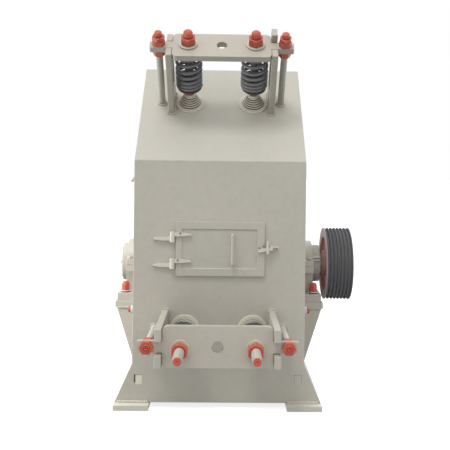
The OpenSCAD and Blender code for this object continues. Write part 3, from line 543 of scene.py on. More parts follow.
def paint_crevice_shade(material, reach, colour):
    """Darkens a coat in its crevices, as painted shade."""
    tree = material.node_tree
    coat = tree.nodes["Principled BSDF"].inputs["Base Color"]
    crevices = add_node(tree, "ShaderNodeAmbientOcclusion", {"Distance": reach}, samples=8)
    hidden = add_node(
        tree,
        "ShaderNodeMapRange",
        {"From Min": 0.35, "From Max": 0.85, "To Min": 0.75, "To Max": 0.0},
        {"Value": crevices.outputs["AO"]},
    )
    colours = add_node(
        tree,
        "ShaderNodeMix",
        {7: linear(colour)},
        {0: hidden.outputs["Result"], 6: coat.links[0].from_socket},
        data_type="RGBA",
    )
    tree.links.new(colours.outputs[2], coat)


# Painted shade, dark red-brown, in the crevices of the orange-red nuts, collars and ends.
paint_crevice_shade(nut_enamel, reach=0.014, colour="#702418")
black_steel = enamel("blackened_spring_steel", "#3C3D3E", "#606163", cloud=0.05, gloss=0.4)
paint(["hold_down_bolts"], pale_enamel)
hold_washer = [
    (0.0, 0.0), (0.0262, 0.0), (0.0270, 0.0008), (0.0270, 0.0038), (0.0262, 0.0046), (0.0, 0.0046),
]
places = [at(0, 0, SOLE_TOP) @ stud for stud in HOLD_STUDS]
spring_washer = [
    (0.0140, 0.0), (0.0205, 0.0), (0.0212, 0.0007), (0.0212, 0.0055), (0.0205, 0.0062),
    (0.0140, 0.0062), (0.0140, 0.0),
]
spring_washers = copies(turned("washer", spring_washer, 40), "hold_down_spring_washers", places)
finish_piece(spring_washers, black_steel, "housing", "bolt_steel")
places = [at(0, 0, 0.0061) @ place for place in places]
hold_washers = copies(turned("washer", hold_washer, 40), "hold_down_washers", places)
finish_piece(hold_washers, pale_enamel, "housing", "bolt_steel")
dome = [
    (0.0, 0.020), (0.0187, 0.020), (0.0187, 0.0345), (0.0178, 0.0390), (0.0152, 0.0432),
    (0.0105, 0.0462), (0.0050, 0.0478), (0.0, 0.0482),
]
upper_nut = join_pieces(
    [hexagon("nut", DOME_NUT_AF, DOME_NUT_HEIGHT), turned("dome", dome, 32)], "upper_nut"
)
upper_nuts = copies(upper_nut, "upper_nuts", [at(0, 0, 0.0045) @ place for place in places])
lower_nuts = copies(
    hexagon("nut", HOLD_AF, HOLD_NUT_HEIGHT, HOLD_RADIUS),
    "lower_nuts",
    [at(0, 0, PEDESTAL_UNDER - HOLD_NUT_HEIGHT) @ bolt for bolt in HOLD_BOLTS],
)
hold_nuts = join_pieces([upper_nuts, lower_nuts], "hold_down_nut_set")
finish_piece(hold_nuts, nut_enamel, "housing", "nut_paint", "hold_down_nuts")


# Liner bolts: one through each side wall near the door wall, with a long pale sleeve
# and an orange-red nut. They hold the wear plate on the inside of the wall.
LINER_BOLTS = [
    at(side * 0.4095, -0.500, 0.4385) @ Matrix.Rotation(radians(side * 90), 4, "Y")
    for side in (-1, 1)
]
LINER_AF = 0.027
LINER_NUT_HEIGHT = 0.012
LINER_RADIUS = 0.0080
sleeve = [(0.0, 0.0), (0.0205, 0.0), (0.0205, 0.0240), (0.0192, 0.0255), (0.0, 0.0255)]
liner_sleeves = copies(turned("sleeve", sleeve, 40), "liner_sleeves", LINER_BOLTS)
finish_piece(liner_sleeves, pale_enamel, "housing", "bolt_steel")
shank = [
    (0.0, 0.024), (LINER_RADIUS, 0.024), (LINER_RADIUS, 0.0400), (0.0068, 0.0415), (0.0, 0.0415),
]
liner_nut = copies(
    hexagon("nut", LINER_AF, LINER_NUT_HEIGHT, LINER_RADIUS), "nut", [at(0, 0, 0.0253)]
)
liner_nut = join_pieces([liner_nut, turned("shank", shank, 24)], "nut")
liner_nuts = copies(liner_nut, "liner_nuts", LINER_BOLTS)
finish_piece(liner_nuts, nut_enamel, "housing", "nut_paint")


# Shaft, rotor and blow bars: a turned steel shaft, a rotor of welded discs and cast bars.
# The rotor is primed and worn; the bars are manganese steel with a rough cast skin.
BANDS_PER_METRE = 3.18


def metal(name, colour, dark_colour, grain, depth, shine, turned_rings=0.0):
    """Bare or thinly primed metal: two tones that break up in patches, with a rough skin, and
    for turned work rings round the X axis, drawn coarser than real so that they show."""
    material = bpy.data.materials.new(name)
    material.use_nodes = True
    tree = material.node_tree
    shader = tree.nodes["Principled BSDF"]
    shader.inputs["Metallic"].default_value = shine
    place = add_node(tree, "ShaderNodeTexCoord").outputs["Object"]
    patches = add_node(
        tree, "ShaderNodeTexNoise", {"Scale": 1 / 0.06, "Detail": 6.0}, {"Vector": place}
    )
    share = add_node(
        tree,
        "ShaderNodeMapRange",
        {"From Min": 0.38, "From Max": 0.64},
        {"Value": patches.outputs["Fac"]},
    )
    colours = add_node(
        tree,
        "ShaderNodeMix",
        {6: linear(colour), 7: linear(dark_colour)},
        {0: share.outputs["Result"]},
        data_type="RGBA",
    )
    rough = add_node(
        tree, "ShaderNodeMapRange", {"To Min": 0.32, "To Max": 0.62}, {"Value": patches.outputs["Fac"]}
    )
    if turned_rings:
        skin = add_node(
            tree,
            "ShaderNodeTexWave",
            {"Scale": 1 / turned_rings / BANDS_PER_METRE, "Distortion": 0.4},
            {"Vector": place},
            bands_direction="X",
        )
    else:
        skin = add_node(
            tree, "ShaderNodeTexNoise", {"Scale": 1 / grain, "Detail": 4.0}, {"Vector": place}
        )
    bump = add_node(
        tree,
        "ShaderNodeBump",
        {"Strength": 0.6, "Distance": depth},
        {"Height": skin.outputs["Fac"]},
    )
    tree.links.new(colours.outputs[2], shader.inputs["Base Color"])
    tree.links.new(rough.outputs["Result"], shader.inputs["Roughness"])
    tree.links.new(bump.outputs["Normal"], shader.inputs["Normal"])
    return material


shaft_steel = metal(
    "turned_shaft_steel", "#B3B1AC", "#8C8883", grain=0.002, depth=0.0002, shine=0.9, turned_rings=0.002
)
rotor_primer = metal("worn_rotor_primer", "#5E5650", "#453D37", grain=0.006, depth=0.0006, shine=0.2)
cast_bars = metal("cast_manganese_steel", "#77736D", "#4E4842", grain=0.008, depth=0.0012, shine=0.6)
paint(["shaft"], shaft_steel)
paint(["rotor_body"], rotor_primer)
paint(["blow_bars"], cast_bars)
grind_edges(["blow_bars"], width=0.003)


# Belt pulley: grey iron, turned on the rim for seven V-belts, drawn on to the shaft by screws.
# The rim is dark, with the groove walls painted paler than the lands, as painted light against the
# shade in the grooves. The sides of the rim are faced and pale pinkish grey, partly bare iron and
# partly a painted highlight, and the web and hub keep a red oxide primer.
PULLEY_SIDES = (0.5795, 0.7185)
RIM_FROM = 0.172
RIM_INSIDE = 0.1485
GROOVES = (0.187, 0.197)
pulley_iron = bpy.data.materials.new("red_oxide_on_grey_iron")
pulley_iron.use_nodes = True
tree = pulley_iron.node_tree
shader = tree.nodes["Principled BSDF"]
shader.inputs["IOR"].default_value = 1.3
place = add_node(tree, "ShaderNodeTexCoord").outputs["Object"]
axes = add_node(tree, "ShaderNodeSeparateXYZ", links={0: place})
across = add_node(
    tree,
    "ShaderNodeVectorMath",
    {1: (0, 1, 1)},
    {0: add_node(tree, "ShaderNodeMapping", {"Location": (0, 0, -AXIS_Z)}, {0: place}).outputs[0]},
    operation="MULTIPLY",
)
radius = add_node(tree, "ShaderNodeVectorMath", links={0: across.outputs[0]}, operation="LENGTH")
rim = add_node(
    tree,
    "ShaderNodeMapRange",
    {"From Min": RIM_FROM, "From Max": RIM_FROM + 0.002},
    {"Value": radius.outputs["Value"]},
)
inner_side = add_node(
    tree,
    "ShaderNodeMapRange",
    {"From Min": PULLEY_SIDES[0], "From Max": PULLEY_SIDES[0] + 0.0008},
    {"Value": axes.outputs["X"]},
)
outer_side = add_node(
    tree,
    "ShaderNodeMapRange",
    {"From Min": PULLEY_SIDES[1] + 0.0008, "From Max": PULLEY_SIDES[1]},
    {"Value": axes.outputs["X"]},
)
between = add_node(
    tree,
    "ShaderNodeMath",
    links={0: inner_side.outputs["Result"], 1: outer_side.outputs["Result"]},
    operation="MULTIPLY",
)
rim = add_node(
    tree,
    "ShaderNodeMath",
    links={0: rim.outputs["Result"], 1: between.outputs["Value"]},
    operation="MULTIPLY",
)
patches = add_node(tree, "ShaderNodeTexNoise", {"Scale": 1 / 0.05, "Detail": 5.0}, {"Vector": place})
primer = add_node(
    tree,
    "ShaderNodeMix",
    {6: linear("#DCABA2"), 7: linear("#BC8B83")},
    {0: patches.outputs["Fac"]},
    data_type="RGBA",
)
faced = add_node(
    tree,
    "ShaderNodeMath",
    {0: RIM_INSIDE},
    {1: radius.outputs["Value"]},
    operation="LESS_THAN",
)
facing_side = add_node(
    tree, "ShaderNodeMath", {0: 1.0}, {1: between.outputs["Value"]}, operation="SUBTRACT"
)
faced = add_node(
    tree,
    "ShaderNodeMath",
    links={0: faced.outputs["Value"], 1: facing_side.outputs["Value"]},
    operation="MULTIPLY",
)
# Faced sides of the rim in pale pinkish grey: partly bare iron, partly a painted highlight.
sides = add_node(
    tree,
    "ShaderNodeMix",
    {7: linear("#D6C3C5")},
    {0: faced.outputs["Value"], 6: primer.outputs[2]},
    data_type="RGBA",
)
# Groove walls paler than the lands: painted light against the shade in the grooves.
depth = add_node(
    tree,
    "ShaderNodeMapRange",
    {"From Min": GROOVES[0], "From Max": GROOVES[1]},
    {"Value": radius.outputs["Value"]},
)
rim_with_groove_light = add_node(
    tree,
    "ShaderNodeMix",
    {6: linear("#777779"), 7: linear("#656567")},
    {0: depth.outputs["Result"]},
    data_type="RGBA",
)
colours = add_node(
    tree,
    "ShaderNodeMix",
    links={0: rim.outputs["Value"], 6: sides.outputs[2], 7: rim_with_groove_light.outputs[2]},
    data_type="RGBA",
)
gloss = add_node(
    tree, "ShaderNodeMapRange", {"To Min": 0.62, "To Max": 0.72}, {"Value": rim.outputs["Value"]}
)
skin = add_node(tree, "ShaderNodeTexNoise", {"Scale": 1 / 0.005, "Detail": 3.0}, {"Vector": place})
bump = add_node(
    tree, "ShaderNodeBump", {"Strength": 0.4, "Distance": 0.0006}, {"Height": skin.outputs["Fac"]}
)
tree.links.new(colours.outputs[2], shader.inputs["Base Color"])
tree.links.new(gloss.outputs["Result"], shader.inputs["Roughness"])
tree.links.new(bump.outputs["Normal"], shader.inputs["Normal"])
paint(["pulley"], pulley_iron)
grind_edges(["pulley"], width=0.001)

HUB_FACE = 0.7058
HUB_SCREW_RADIUS = 0.074
zinc = metal("zinc_plated_steel", "#C9C8C2", "#A9A79E", grain=0.003, depth=0.0002, shine=0.85)
socket_head = [
    (0.0, 0.0), (0.0120, 0.0), (0.0120, 0.0150), (0.0112, 0.0160), (0.0064, 0.0160),
    (0.0060, 0.0085), (0.0, 0.0085),
]
places = []
for i in range(3):
    angle = radians(120 * i + 90)
    y, z = HUB_SCREW_RADIUS * cos(angle), HUB_SCREW_RADIUS * sin(angle)
    places.append(at(HUB_FACE, y, AXIS_Z + z) @ Matrix.Rotation(radians(90), 4, "Y"))
hub_screws = copies(turned("screw", socket_head, 24), "hub_screws", places)
finish_piece(hub_screws, zinc, "rotor", "shaft_steel")


# Feed plate and impact curtains: thick cast wear plates that the stone strikes, on pivot shafts.
# Their skin is rough from the mould and worn bright in patches.
WEAR_PLATES = ("feed_plate", "upper_curtain", "lower_curtain")
paint(WEAR_PLATES, cast_bars)
grind_edges(WEAR_PLATES, width=0.004)
paint(["curtain_pivots"], shaft_steel)


# Inspection door: a steel leaf with a raised border, hung on two strap hinges with pins.
# Straps, handle and latch are welded on; small bolts hold the latch bar and its keeper.
DOOR_FITTINGS = ("door_straps", "door_latch", "hinge_straps", "latch_keeper")
door_enamel = enamel("door_enamel", HOUSING_GREY, PALE_DUST_WEAR_AND_LIGHT, cloud=0.3)
fitting_enamel = enamel("pale_fitting_enamel", "#D0CCBF", "#E2DFD4", cloud=0.1)
paint(["door_leaf", "door_handle"], door_enamel)
paint(DOOR_FITTINGS, fitting_enamel)
grind_edges(["door_leaf"], width=0.002)
grind_edges(DOOR_FITTINGS, width=0.003)

yellow_zinc = metal("dull_yellow_zinc", "#9A8C6E", "#7C6E54", grain=0.003, depth=0.0002, shine=0.2)
facing_out = Matrix.Rotation(radians(90), 4, "X")
DOOR_BOLT_AF = 0.009
DOOR_BOLT_HEIGHT = 0.004
DOOR_BOLTS = (
    (0.190, -0.655, 0.766), (0.209, -0.655, 0.7755),
    (-0.186, -0.666, 0.8335), (-0.197, -0.666, 0.7075),
)
KEEPER_BOLTS = ((0.260, -0.655, 0.765), (0.272, -0.655, 0.765))
for name, body, bolts in (
    ("door_bolts", "door", DOOR_BOLTS), ("keeper_bolts", "housing", KEEPER_BOLTS),
):
    places = [at(*bolt) @ facing_out for bolt in bolts]
    heads = copies(hexagon("head", DOOR_BOLT_AF, DOOR_BOLT_HEIGHT), name, places)
    finish_piece(heads, yellow_zinc, body, "bolt_steel")


# Tension sets: on the roof and on the door wall, a pair of rods holds a curtain against springs.
# A cross plate in two slotted forks takes the springs' thrust, and studs set its height.
# Everything but the springs is sprayed grey; nuts and ends are brushed orange-red.
UPPER_SET = Matrix.Translation((0, -0.345844, 1.472156)) @ Matrix.Rotation(radians(45), 4, "X")
LOWER_SET = Matrix.Translation((0, -0.640, 0.371)) @ Matrix.Rotation(radians(90), 4, "X")
LOWER_PLATE = Matrix.Translation((0, 0, 0.012)) @ LOWER_SET
SET_PLATES = ("upper_forks", "lower_forks", "upper_cross_plate", "lower_cross_plate")
ROD_X = 0.162
STUD_X = 0.304
FORK_X = 0.254
SPRING_FOOT = 0.114
PLATE_UNDER = 0.342
ROD_SHADE_GREY = "#5A5A5C"
set_enamel = enamel("grey_set_enamel", "#B8B3A6", "#BFBBAE", cloud=0.3)
stud_enamel = enamel("grey_stud_enamel", "#B3B1A6", PALE_DUST_WEAR_AND_LIGHT, cloud=0.1, gloss=0.34)
paint(SET_PLATES, set_enamel)
paint(["studs"], stud_enamel)
paint(["rod_washers"], enamel("pale_washer_enamel", "#BFBAAD", "#E6E3D8", cloud=0.1))
grind_edges(["upper_forks", "lower_forks"], width=0.004)
grind_edges(["upper_cross_plate", "lower_cross_plate"], width=0.003)
grind_edges(["rod_washers"], width=0.0015)


def rod_paint(name, set_frame):
    """Pale enamel for rods, painted dark grey where a spring stands round them, as painted shade."""
    material = enamel(name, "#A3A097", "#C2C0B7", cloud=0.1, gloss=0.34)
    tree = material.node_tree
    outwards = set_frame.to_3x3() @ Vector((0, 0, 1))
    height = add_node(
        tree,
        "ShaderNodeVectorMath",
        {1: tuple(outwards)},
        {0: add_node(tree, "ShaderNodeTexCoord").outputs["Object"]},
        operation="DOT_PRODUCT",
    )
    base = outwards.dot(set_frame.translation)
    above = add_node(
        tree, "ShaderNodeMath", {1: base + SPRING_FOOT - 0.008}, {0: height.outputs["Value"]},
        operation="GREATER_THAN",
    )
    below = add_node(
        tree, "ShaderNodeMath", {1: base + PLATE_UNDER - 0.005}, {0: height.outputs["Value"]},
        operation="LESS_THAN",
    )
    inside = add_node(
        tree, "ShaderNodeMath", links={0: above.outputs["Value"], 1: below.outputs["Value"]},
        operation="MULTIPLY",
    )
    # Painted shade: the stretch of rod inside each spring is dark grey.
    coat = tree.nodes["Principled BSDF"].inputs["Base Color"]
    colours = add_node(
        tree,
        "ShaderNodeMix",
        {7: linear(ROD_SHADE_GREY)},
        {0: inside.outputs["Value"], 6: coat.links[0].from_socket},
        data_type="RGBA",
    )
    tree.links.new(colours.outputs[2], coat)
    return material


lower_rod_enamel = rod_paint("lower_rod_enamel", LOWER_SET)
paint(["upper_rods"], rod_paint("upper_rod_enamel", UPPER_SET))
paint(["lower_rods"], lower_rod_enamel)


def both_sides(set_frame, x, height=0.0, turn=0.0):
    """Places on the left and on the right of a set, at a height above the plate that carries it."""
    spin = Matrix.Rotation(radians(turn), 4, "Z")
    return [set_frame @ at(side * x, 0, height) @ spin for side in (-1, 1)]


# Fork and stud welds: fillet beads round the feet of the forks and the studs of both sets.
# They were laid by hand and painted over with the sets.
FORK_SIDE = (0.016, 0.084)
FORK_EDGE = (0.014, 0.085)
SET_BEAD_RADIUS = 0.0075
STUD_WELD_RADIUS = 0.0185


def ring_of_weld(name, radius, bead):
    """A weld round a stud's foot: one ripple, copied round by spin."""
    bpy.ops.object.select_all(action="DESELECT")
    bpy.ops.mesh.primitive_uv_sphere_add(
        segments=8, ring_count=5, radius=bead, location=(radius, 0, bead * 0.2)
    )
    piece = bpy.context.object
    piece.name = name
    bpy.ops.object.transform_apply(location=True, rotation=True, scale=True)
    bpy.ops.object.mode_set(mode="EDIT")
    bpy.ops.mesh.select_all(action="SELECT")
    count = round(2 * pi * radius / bead / 0.9)
    bpy.ops.mesh.spin(
        steps=count, dupli=True, angle=2 * pi * (count - 1) / count, center=(0, 0, 0), axis=(0, 0, 1)
    )
    bpy.ops.mesh.select_all(action="SELECT")
    bpy.ops.mesh.normals_make_consistent(inside=False)
    bpy.ops.object.mode_set(mode="OBJECT")
    bpy.ops.object.shade_smooth()
    return piece


for set_name, set_frame in (("upper", UPPER_SET), ("lower", LOWER_PLATE)):
    seams = []
    for side in (-1, 1):
        along, across = FORK_SIDE[1], FORK_EDGE[0]
        for x in (FORK_X - FORK_SIDE[0], FORK_X + FORK_SIDE[0]):
            seams.append([set_frame @ Vector((side * x, y, 0.001)) for y in (-along, along)])
        for y in (-FORK_EDGE[1], FORK_EDGE[1]):
            ends = (FORK_X - across, FORK_X + across)
            seams.append([set_frame @ Vector((side * x, y, 0.001)) for x in ends])
    fork_welds = weld_beads(set_name + "_fork_welds", seams, radius=SET_BEAD_RADIUS, step=0.0065)
    stud_welds = copies(
        ring_of_weld("stud_weld", STUD_WELD_RADIUS, SET_BEAD_RADIUS),
        "stud_welds",
        both_sides(set_frame, STUD_X),
    )
    welds = join_pieces([fork_welds, stud_welds], set_name + "_set_welds")
    finish_piece(welds, set_enamel, "housing", "set_paint")


# Rod seals: painted steel rings, stacked with lips of black rubber round each rod to keep dust in;
# the lips' black also stands for the shade between the rings, as painted shade.
# The lowest of them is a wide foot that lies flat on the housing.
SEAL_RINGS = (
    (0.0535, 0.0140), (0.0480, 0.0240), (0.0425, 0.0340), (0.0370, 0.0440), (0.0315, 0.0540),
)
RING_HEIGHT = 0.0055
RING_GAP = 0.0045
LIP = 0.0017
SEAL_BORE = 0.0215
foot = [
    (SEAL_BORE, 0.0), (0.0730, 0.0), (0.0740, 0.0010), (0.0740, 0.0065), (0.0715, 0.0090),
    (0.0600, 0.0095), (SEAL_BORE, 0.0095), (SEAL_BORE, 0.0),
]
SEAL_PLACES = both_sides(UPPER_SET, ROD_X) + both_sides(LOWER_SET, ROD_X)
feet = copies(turned("foot", foot, 64), "seal_feet", SEAL_PLACES)
seal_enamel = enamel("grey_seal_enamel", "#D6D0C1", "#E2DDD0", cloud=0.2, underside_shade=0.0)
# The feet take a slightly darker copy of the seal enamel, as painted shade under the springs.
shaded_foot_enamel = enamel("grey_foot_enamel_painted_shade", "#D3CDBE", "#D6D1C4", cloud=0.2, underside_shade=0.0)
finish_piece(feet, shaded_foot_enamel, "housing", "set_paint")

rings = []
for ring, height in SEAL_RINGS:
    top = height + RING_HEIGHT
    section = [
        (SEAL_BORE, height), (ring - 0.001, height), (ring, height + 0.001), (ring, top - 0.001),
        (ring - 0.001, top), (SEAL_BORE, top), (SEAL_BORE, height),
    ]
    rings.append(turned("ring", section, 48))
neck = [
    (SEAL_BORE, 0.0595), (0.0255, 0.0595), (0.0245, 0.0690), (0.0235, 0.070), (SEAL_BORE, 0.070),
    (SEAL_BORE, 0.0595),
]
rings.append(turned("neck", neck, 40))
seals = copies(join_pieces(rings, "seal"), "stepped_seals", SEAL_PLACES)
finish_piece(seals, seal_enamel, "housing", "set_paint", "rod_seals")

# Black lips: rubber, and painted shade between the seal rings.
rubber_and_ring_shade = enamel("black_seal_rubber_and_shade", "#3E3D39", "#504E49", cloud=0.05, gloss=0.6)
lips = []
for ring, height in SEAL_RINGS:
    low, edge = height - RING_GAP, ring + LIP
    section = [
        (SEAL_BORE, low), (edge - 0.0005, low), (edge, height - RING_GAP / 2),
        (edge - 0.0005, height), (SEAL_BORE, height), (SEAL_BORE, low),
    ]
    lips.append(turned("lip", section, 48))
cones = copies(join_pieces(lips, "cone"), "seal_cones", SEAL_PLACES)
finish_piece(cones, rubber_and_ring_shade, "housing", "set_paint")


# Springs: seven and a half coils of thick wire, coiled hot, ever closer to the foot, lacquered black.
# Each stands on a dished seat.
# Both pairs are black lacquer in two tones: the upper pair paler, as painted light, and the lower
# pair, under its plate, darker, as painted shade.
WIRE_RADIUS = 0.0090
COIL_RADIUS = 0.0590
END_PITCH = 0.0183
CLOSE_PITCH = 0.0195
CLOSE_TURNS = 1.5
MIDDLE_PITCH = 0.0300
MIDDLE_TURNS = 2
OPEN_TURNS = 2
WIRE_SIDES = 16
WIRE_STEPS = 40
SEAT_BORE = 0.0213
SEAT_RADIUS = 0.0615
SEAT_UNDER = 0.1050
SPRING_LENGTH = PLATE_UNDER - SPRING_FOOT
COILS_RISE = SPRING_LENGTH - 2 * WIRE_RADIUS - 2 * END_PITCH
OPEN_PITCH = (COILS_RISE - CLOSE_TURNS * CLOSE_PITCH - MIDDLE_TURNS * MIDDLE_PITCH) / OPEN_TURNS


def coiled(name, sides, profile_radius, radius, height, pitch, turns, steps, start=1):
    """Sweeps a small polygon up a helix from X = start times radius, and returns the open tube."""
    bpy.ops.object.select_all(action="DESELECT")
    bpy.ops.mesh.primitive_circle_add(
        vertices=sides, radius=profile_radius, location=(start * radius, 0, height),
        rotation=(radians(90), 0, 0),
    )
    piece = bpy.context.object
    piece.name = name
    bpy.ops.object.transform_apply(location=True, rotation=True, scale=True)
    helix = piece.modifiers.new("helix", "SCREW")
    helix.angle = 2 * pi * turns
    helix.screw_offset = pitch * turns
    helix.steps = helix.render_steps = round(steps * turns)
    bpy.ops.object.modifier_apply(modifier="helix")
    return piece


def wire(name, height, pitch, turns, start=1):
    """A stretch of spring wire, from a height upwards."""
    return coiled(
        name, WIRE_SIDES, WIRE_RADIUS, COIL_RADIUS, height, pitch, turns, WIRE_STEPS, start
    )


def close_tube(piece):
    """Merges the stretches of a swept tube, closes its two ends and turns its faces outwards."""
    bpy.context.view_layer.objects.active = piece
    bpy.ops.object.mode_set(mode="EDIT")
    bpy.ops.mesh.select_all(action="SELECT")
    bpy.ops.mesh.remove_doubles(threshold=0.00002)
    bpy.ops.mesh.select_all(action="SELECT")
    bpy.ops.mesh.fill_holes(sides=0)
    bpy.ops.mesh.select_all(action="SELECT")
    bpy.ops.mesh.normals_make_consistent(inside=False)
    bpy.ops.object.mode_set(mode="OBJECT")
    bpy.ops.object.shade_smooth_by_angle(angle=radians(50))
    return piece


# Two tones of one black lacquer: paler upper pair as painted light, darker lower pair as painted shade.
upper_lacquer_painted_light = enamel(
    "spring_lacquer_painted_light", "#6C6C6E", "#808083", cloud=0.1, grain=0.003, grain_depth=0.0003, gloss=0.36
)
lower_lacquer_painted_shade = enamel(
    "spring_lacquer_painted_shade", "#3A3A3C", "#4A4A4C", cloud=0.1, grain=0.003, grain_depth=0.0003, gloss=0.45
)
for set_name, set_frame, lacquer in (
    ("upper", UPPER_SET, upper_lacquer_painted_light), ("lower", LOWER_SET, lower_lacquer_painted_shade),
):
    close_start = WIRE_RADIUS + END_PITCH
    middle_start = close_start + CLOSE_TURNS * CLOSE_PITCH
    open_start = middle_start + MIDDLE_TURNS * MIDDLE_PITCH
    top_start = open_start + OPEN_TURNS * OPEN_PITCH
    spring = close_tube(
        join_pieces(
            [
                wire("foot_coil", WIRE_RADIUS, END_PITCH, 1),
                wire("close_coils", close_start, CLOSE_PITCH, CLOSE_TURNS),
                wire("middle_coils", middle_start, MIDDLE_PITCH, MIDDLE_TURNS, -1),
                wire("open_coils", open_start, OPEN_PITCH, OPEN_TURNS, -1),
                wire("top_coil", top_start, END_PITCH, 1, -1),
            ],
            "spring",
        )
    )
    springs = copies(spring, set_name + "_spring_pair", both_sides(set_frame, ROD_X, SPRING_FOOT))
    finish_piece(springs, lacquer, "housing", "spring_black", set_name + "_springs")
    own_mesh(springs)
    dish = [
        (SEAT_BORE, SEAT_UNDER), (0.0300, SEAT_UNDER), (0.0605, 0.1125), (SEAT_RADIUS, 0.1132),
        (SEAT_RADIUS, SPRING_FOOT), (SEAT_BORE, SPRING_FOOT), (SEAT_BORE, SEAT_UNDER),
    ]
    seats = copies(turned("seat", dish, 48), set_name + "_dished_seats", both_sides(set_frame, ROD_X))
    finish_piece(seats, lacquer, set_name + "_rod_pair", "spring_black", set_name + "_spring_seats")


# Nuts, collars and rod ends: coarse hexagon nuts on the rods and studs, and the screwed ends above.
# All were brushed with orange-red enamel, apart from the long lower ends, which are red at the tip.
ROD_NUT_AF = 0.065
ROD_NUT_FOOT = 0.382
ROD_NUT_HEIGHT = 0.038
ROD_RADIUS = 0.021
ROD_PITCH = 0.0045
STUD_NUT_AF = 0.054
STUD_NUT_HEIGHT = 0.028
PLATE_TOP = 0.372
STUD_RADIUS = 0.0165
STUD_PITCH = 0.0035
STUD_THREAD = (0.422, 0.439)
LOCK_NUT_HEIGHT = 0.021
UPPER_ROD_END = 0.450
UPPER_THREAD_END = 0.443
LOWER_ROD_END = 0.556
LOWER_THREAD_END = 0.548
UPPER_STUD_END = 0.442
LOWER_STUD_END = 0.402
COLLAR_BORE = 0.0212
PAINT_SKIN = 0.0006


def screw_thread(name, radius, pitch, start, end):
    """A ridge that winds up a rod from start to end, standing a little proud of its surface."""
    proud = pitch * 0.18
    ridge = coiled(
        name, 4, pitch / 2, radius + proud - pitch / 2, start, pitch, (end - start) / pitch, 20
    )
    return close_tube(ridge)


def domed_end(name, radius, tip, start, end):
    """The painted end of a rod: a thin skin of paint on it, rounded over its tip."""
    side, rim = radius + PAINT_SKIN, tip + PAINT_SKIN
    return turned(
        name,
        [
            (0, start), (side, start), (side, end - radius + tip + PAINT_SKIN),
            (rim, end + PAINT_SKIN), (tip * 0.86, end + 0.0025), (tip * 0.50, end + 0.0043),
            (0, end + 0.005),
        ],
        32,
    )


def flat_end(name, radius, end, groove=()):
    """The painted face of a sawn rod, with the small hole that a lathe centre leaves, and any groove."""
    return turned(
        name,
        [
            (0, end - 0.001), (radius, end - 0.001), (radius, end + 0.003),
            (radius - 0.001, end + 0.004), *groove, (0.0048, end + 0.004), (0.0010, end + 0.0004),
            (0, end + 0.0004),
        ],
        32,
    )


collar = [
    (COLLAR_BORE, 0.073), (0.0242, 0.073), (0.0252, 0.0740), (0.0252, 0.1042), (0.0242, 0.105),
    (COLLAR_BORE, 0.105), (COLLAR_BORE, 0.073),
]
for set_name, set_frame in (("upper", UPPER_SET), ("lower", LOWER_SET)):
    body = set_name + "_rod_pair"
    nuts = copies(
        hexagon("nut", ROD_NUT_AF, ROD_NUT_HEIGHT, ROD_RADIUS), "rod_nuts",
        both_sides(set_frame, ROD_X, ROD_NUT_FOOT),
    )
    collars = copies(turned("collar", collar, 40), "collars", both_sides(set_frame, ROD_X))
    nut_set = join_pieces([nuts, collars], set_name + "_nuts_and_collars")
    finish_piece(nut_set, nut_enamel, body, "nut_paint", set_name + "_rod_nuts")

nut_top = ROD_NUT_FOOT + ROD_NUT_HEIGHT
ends = copies(
    join_pieces(
        [
            domed_end("end", ROD_RADIUS, ROD_RADIUS - 0.005, nut_top - 0.004, UPPER_ROD_END),
            screw_thread("thread", ROD_RADIUS + PAINT_SKIN, ROD_PITCH, nut_top, UPPER_THREAD_END),
        ],
        "end",
    ),
    "upper_rod_ends", both_sides(UPPER_SET, ROD_X),
)
finish_piece(ends, nut_enamel, "upper_rod_pair", "nut_paint")
threads = copies(
    screw_thread("thread", ROD_RADIUS, ROD_PITCH, nut_top, LOWER_THREAD_END),
    "lower_rod_threads", both_sides(LOWER_SET, ROD_X),
)
finish_piece(threads, lower_rod_enamel, "lower_rod_pair", "rod_paint")
faces = copies(
    flat_end("face", 0.0172, LOWER_ROD_END), "lower_rod_faces", both_sides(LOWER_SET, ROD_X)
)
finish_piece(faces, nut_enamel, "lower_rod_pair", "nut_paint")

STUD_NUT_PLACES = [
    place
    for set_frame in (UPPER_SET, LOWER_PLATE)
    for height in (PLATE_UNDER - STUD_NUT_HEIGHT, PLATE_TOP)
    for place in both_sides(set_frame, STUD_X, height, 30)
]
stud_nuts = copies(
    hexagon("nut", STUD_NUT_AF, STUD_NUT_HEIGHT, STUD_RADIUS), "stud_nuts_plain", STUD_NUT_PLACES
)
lock_nuts = copies(
    hexagon("nut", STUD_NUT_AF, LOCK_NUT_HEIGHT, STUD_RADIUS), "lock_nuts",
    both_sides(UPPER_SET, STUD_X, PLATE_TOP + STUD_NUT_HEIGHT + 0.0002, 50),
)
stud_ends = copies(
    join_pieces(
        [
            domed_end("end", STUD_RADIUS, STUD_RADIUS, 0.416, UPPER_STUD_END),
            screw_thread("thread", STUD_RADIUS + PAINT_SKIN, STUD_PITCH, *STUD_THREAD),
        ],
        "end",
    ),
    "stud_ends", both_sides(UPPER_SET, STUD_X),
)
groove = [(0.0118, 0.406), (0.0110, 0.4022), (0.0086, 0.4022), (0.0078, 0.406)]
stud_faces = copies(
    flat_end("face", 0.0160, LOWER_STUD_END, groove), "stud_faces", both_sides(LOWER_PLATE, STUD_X)
)
stud_set = join_pieces([stud_nuts, lock_nuts, stud_ends, stud_faces], "stud_nut_set")
finish_piece(stud_set, nut_enamel, "housing", "nut_paint", "stud_nuts")


# Studio: a pale floor that runs on into a white backdrop, under soft light from above and left.
# Camera, floor and lamps stand for the photograph's view, and aren't part of the crusher.
scene = bpy.context.scene
scene.view_settings.view_transform = "Standard"

bpy.ops.object.select_all(action="DESELECT")
bpy.ops.mesh.primitive_plane_add(size=60, location=(0, 10, 0))
floor = bpy.context.object
floor.name = "studio_floor"

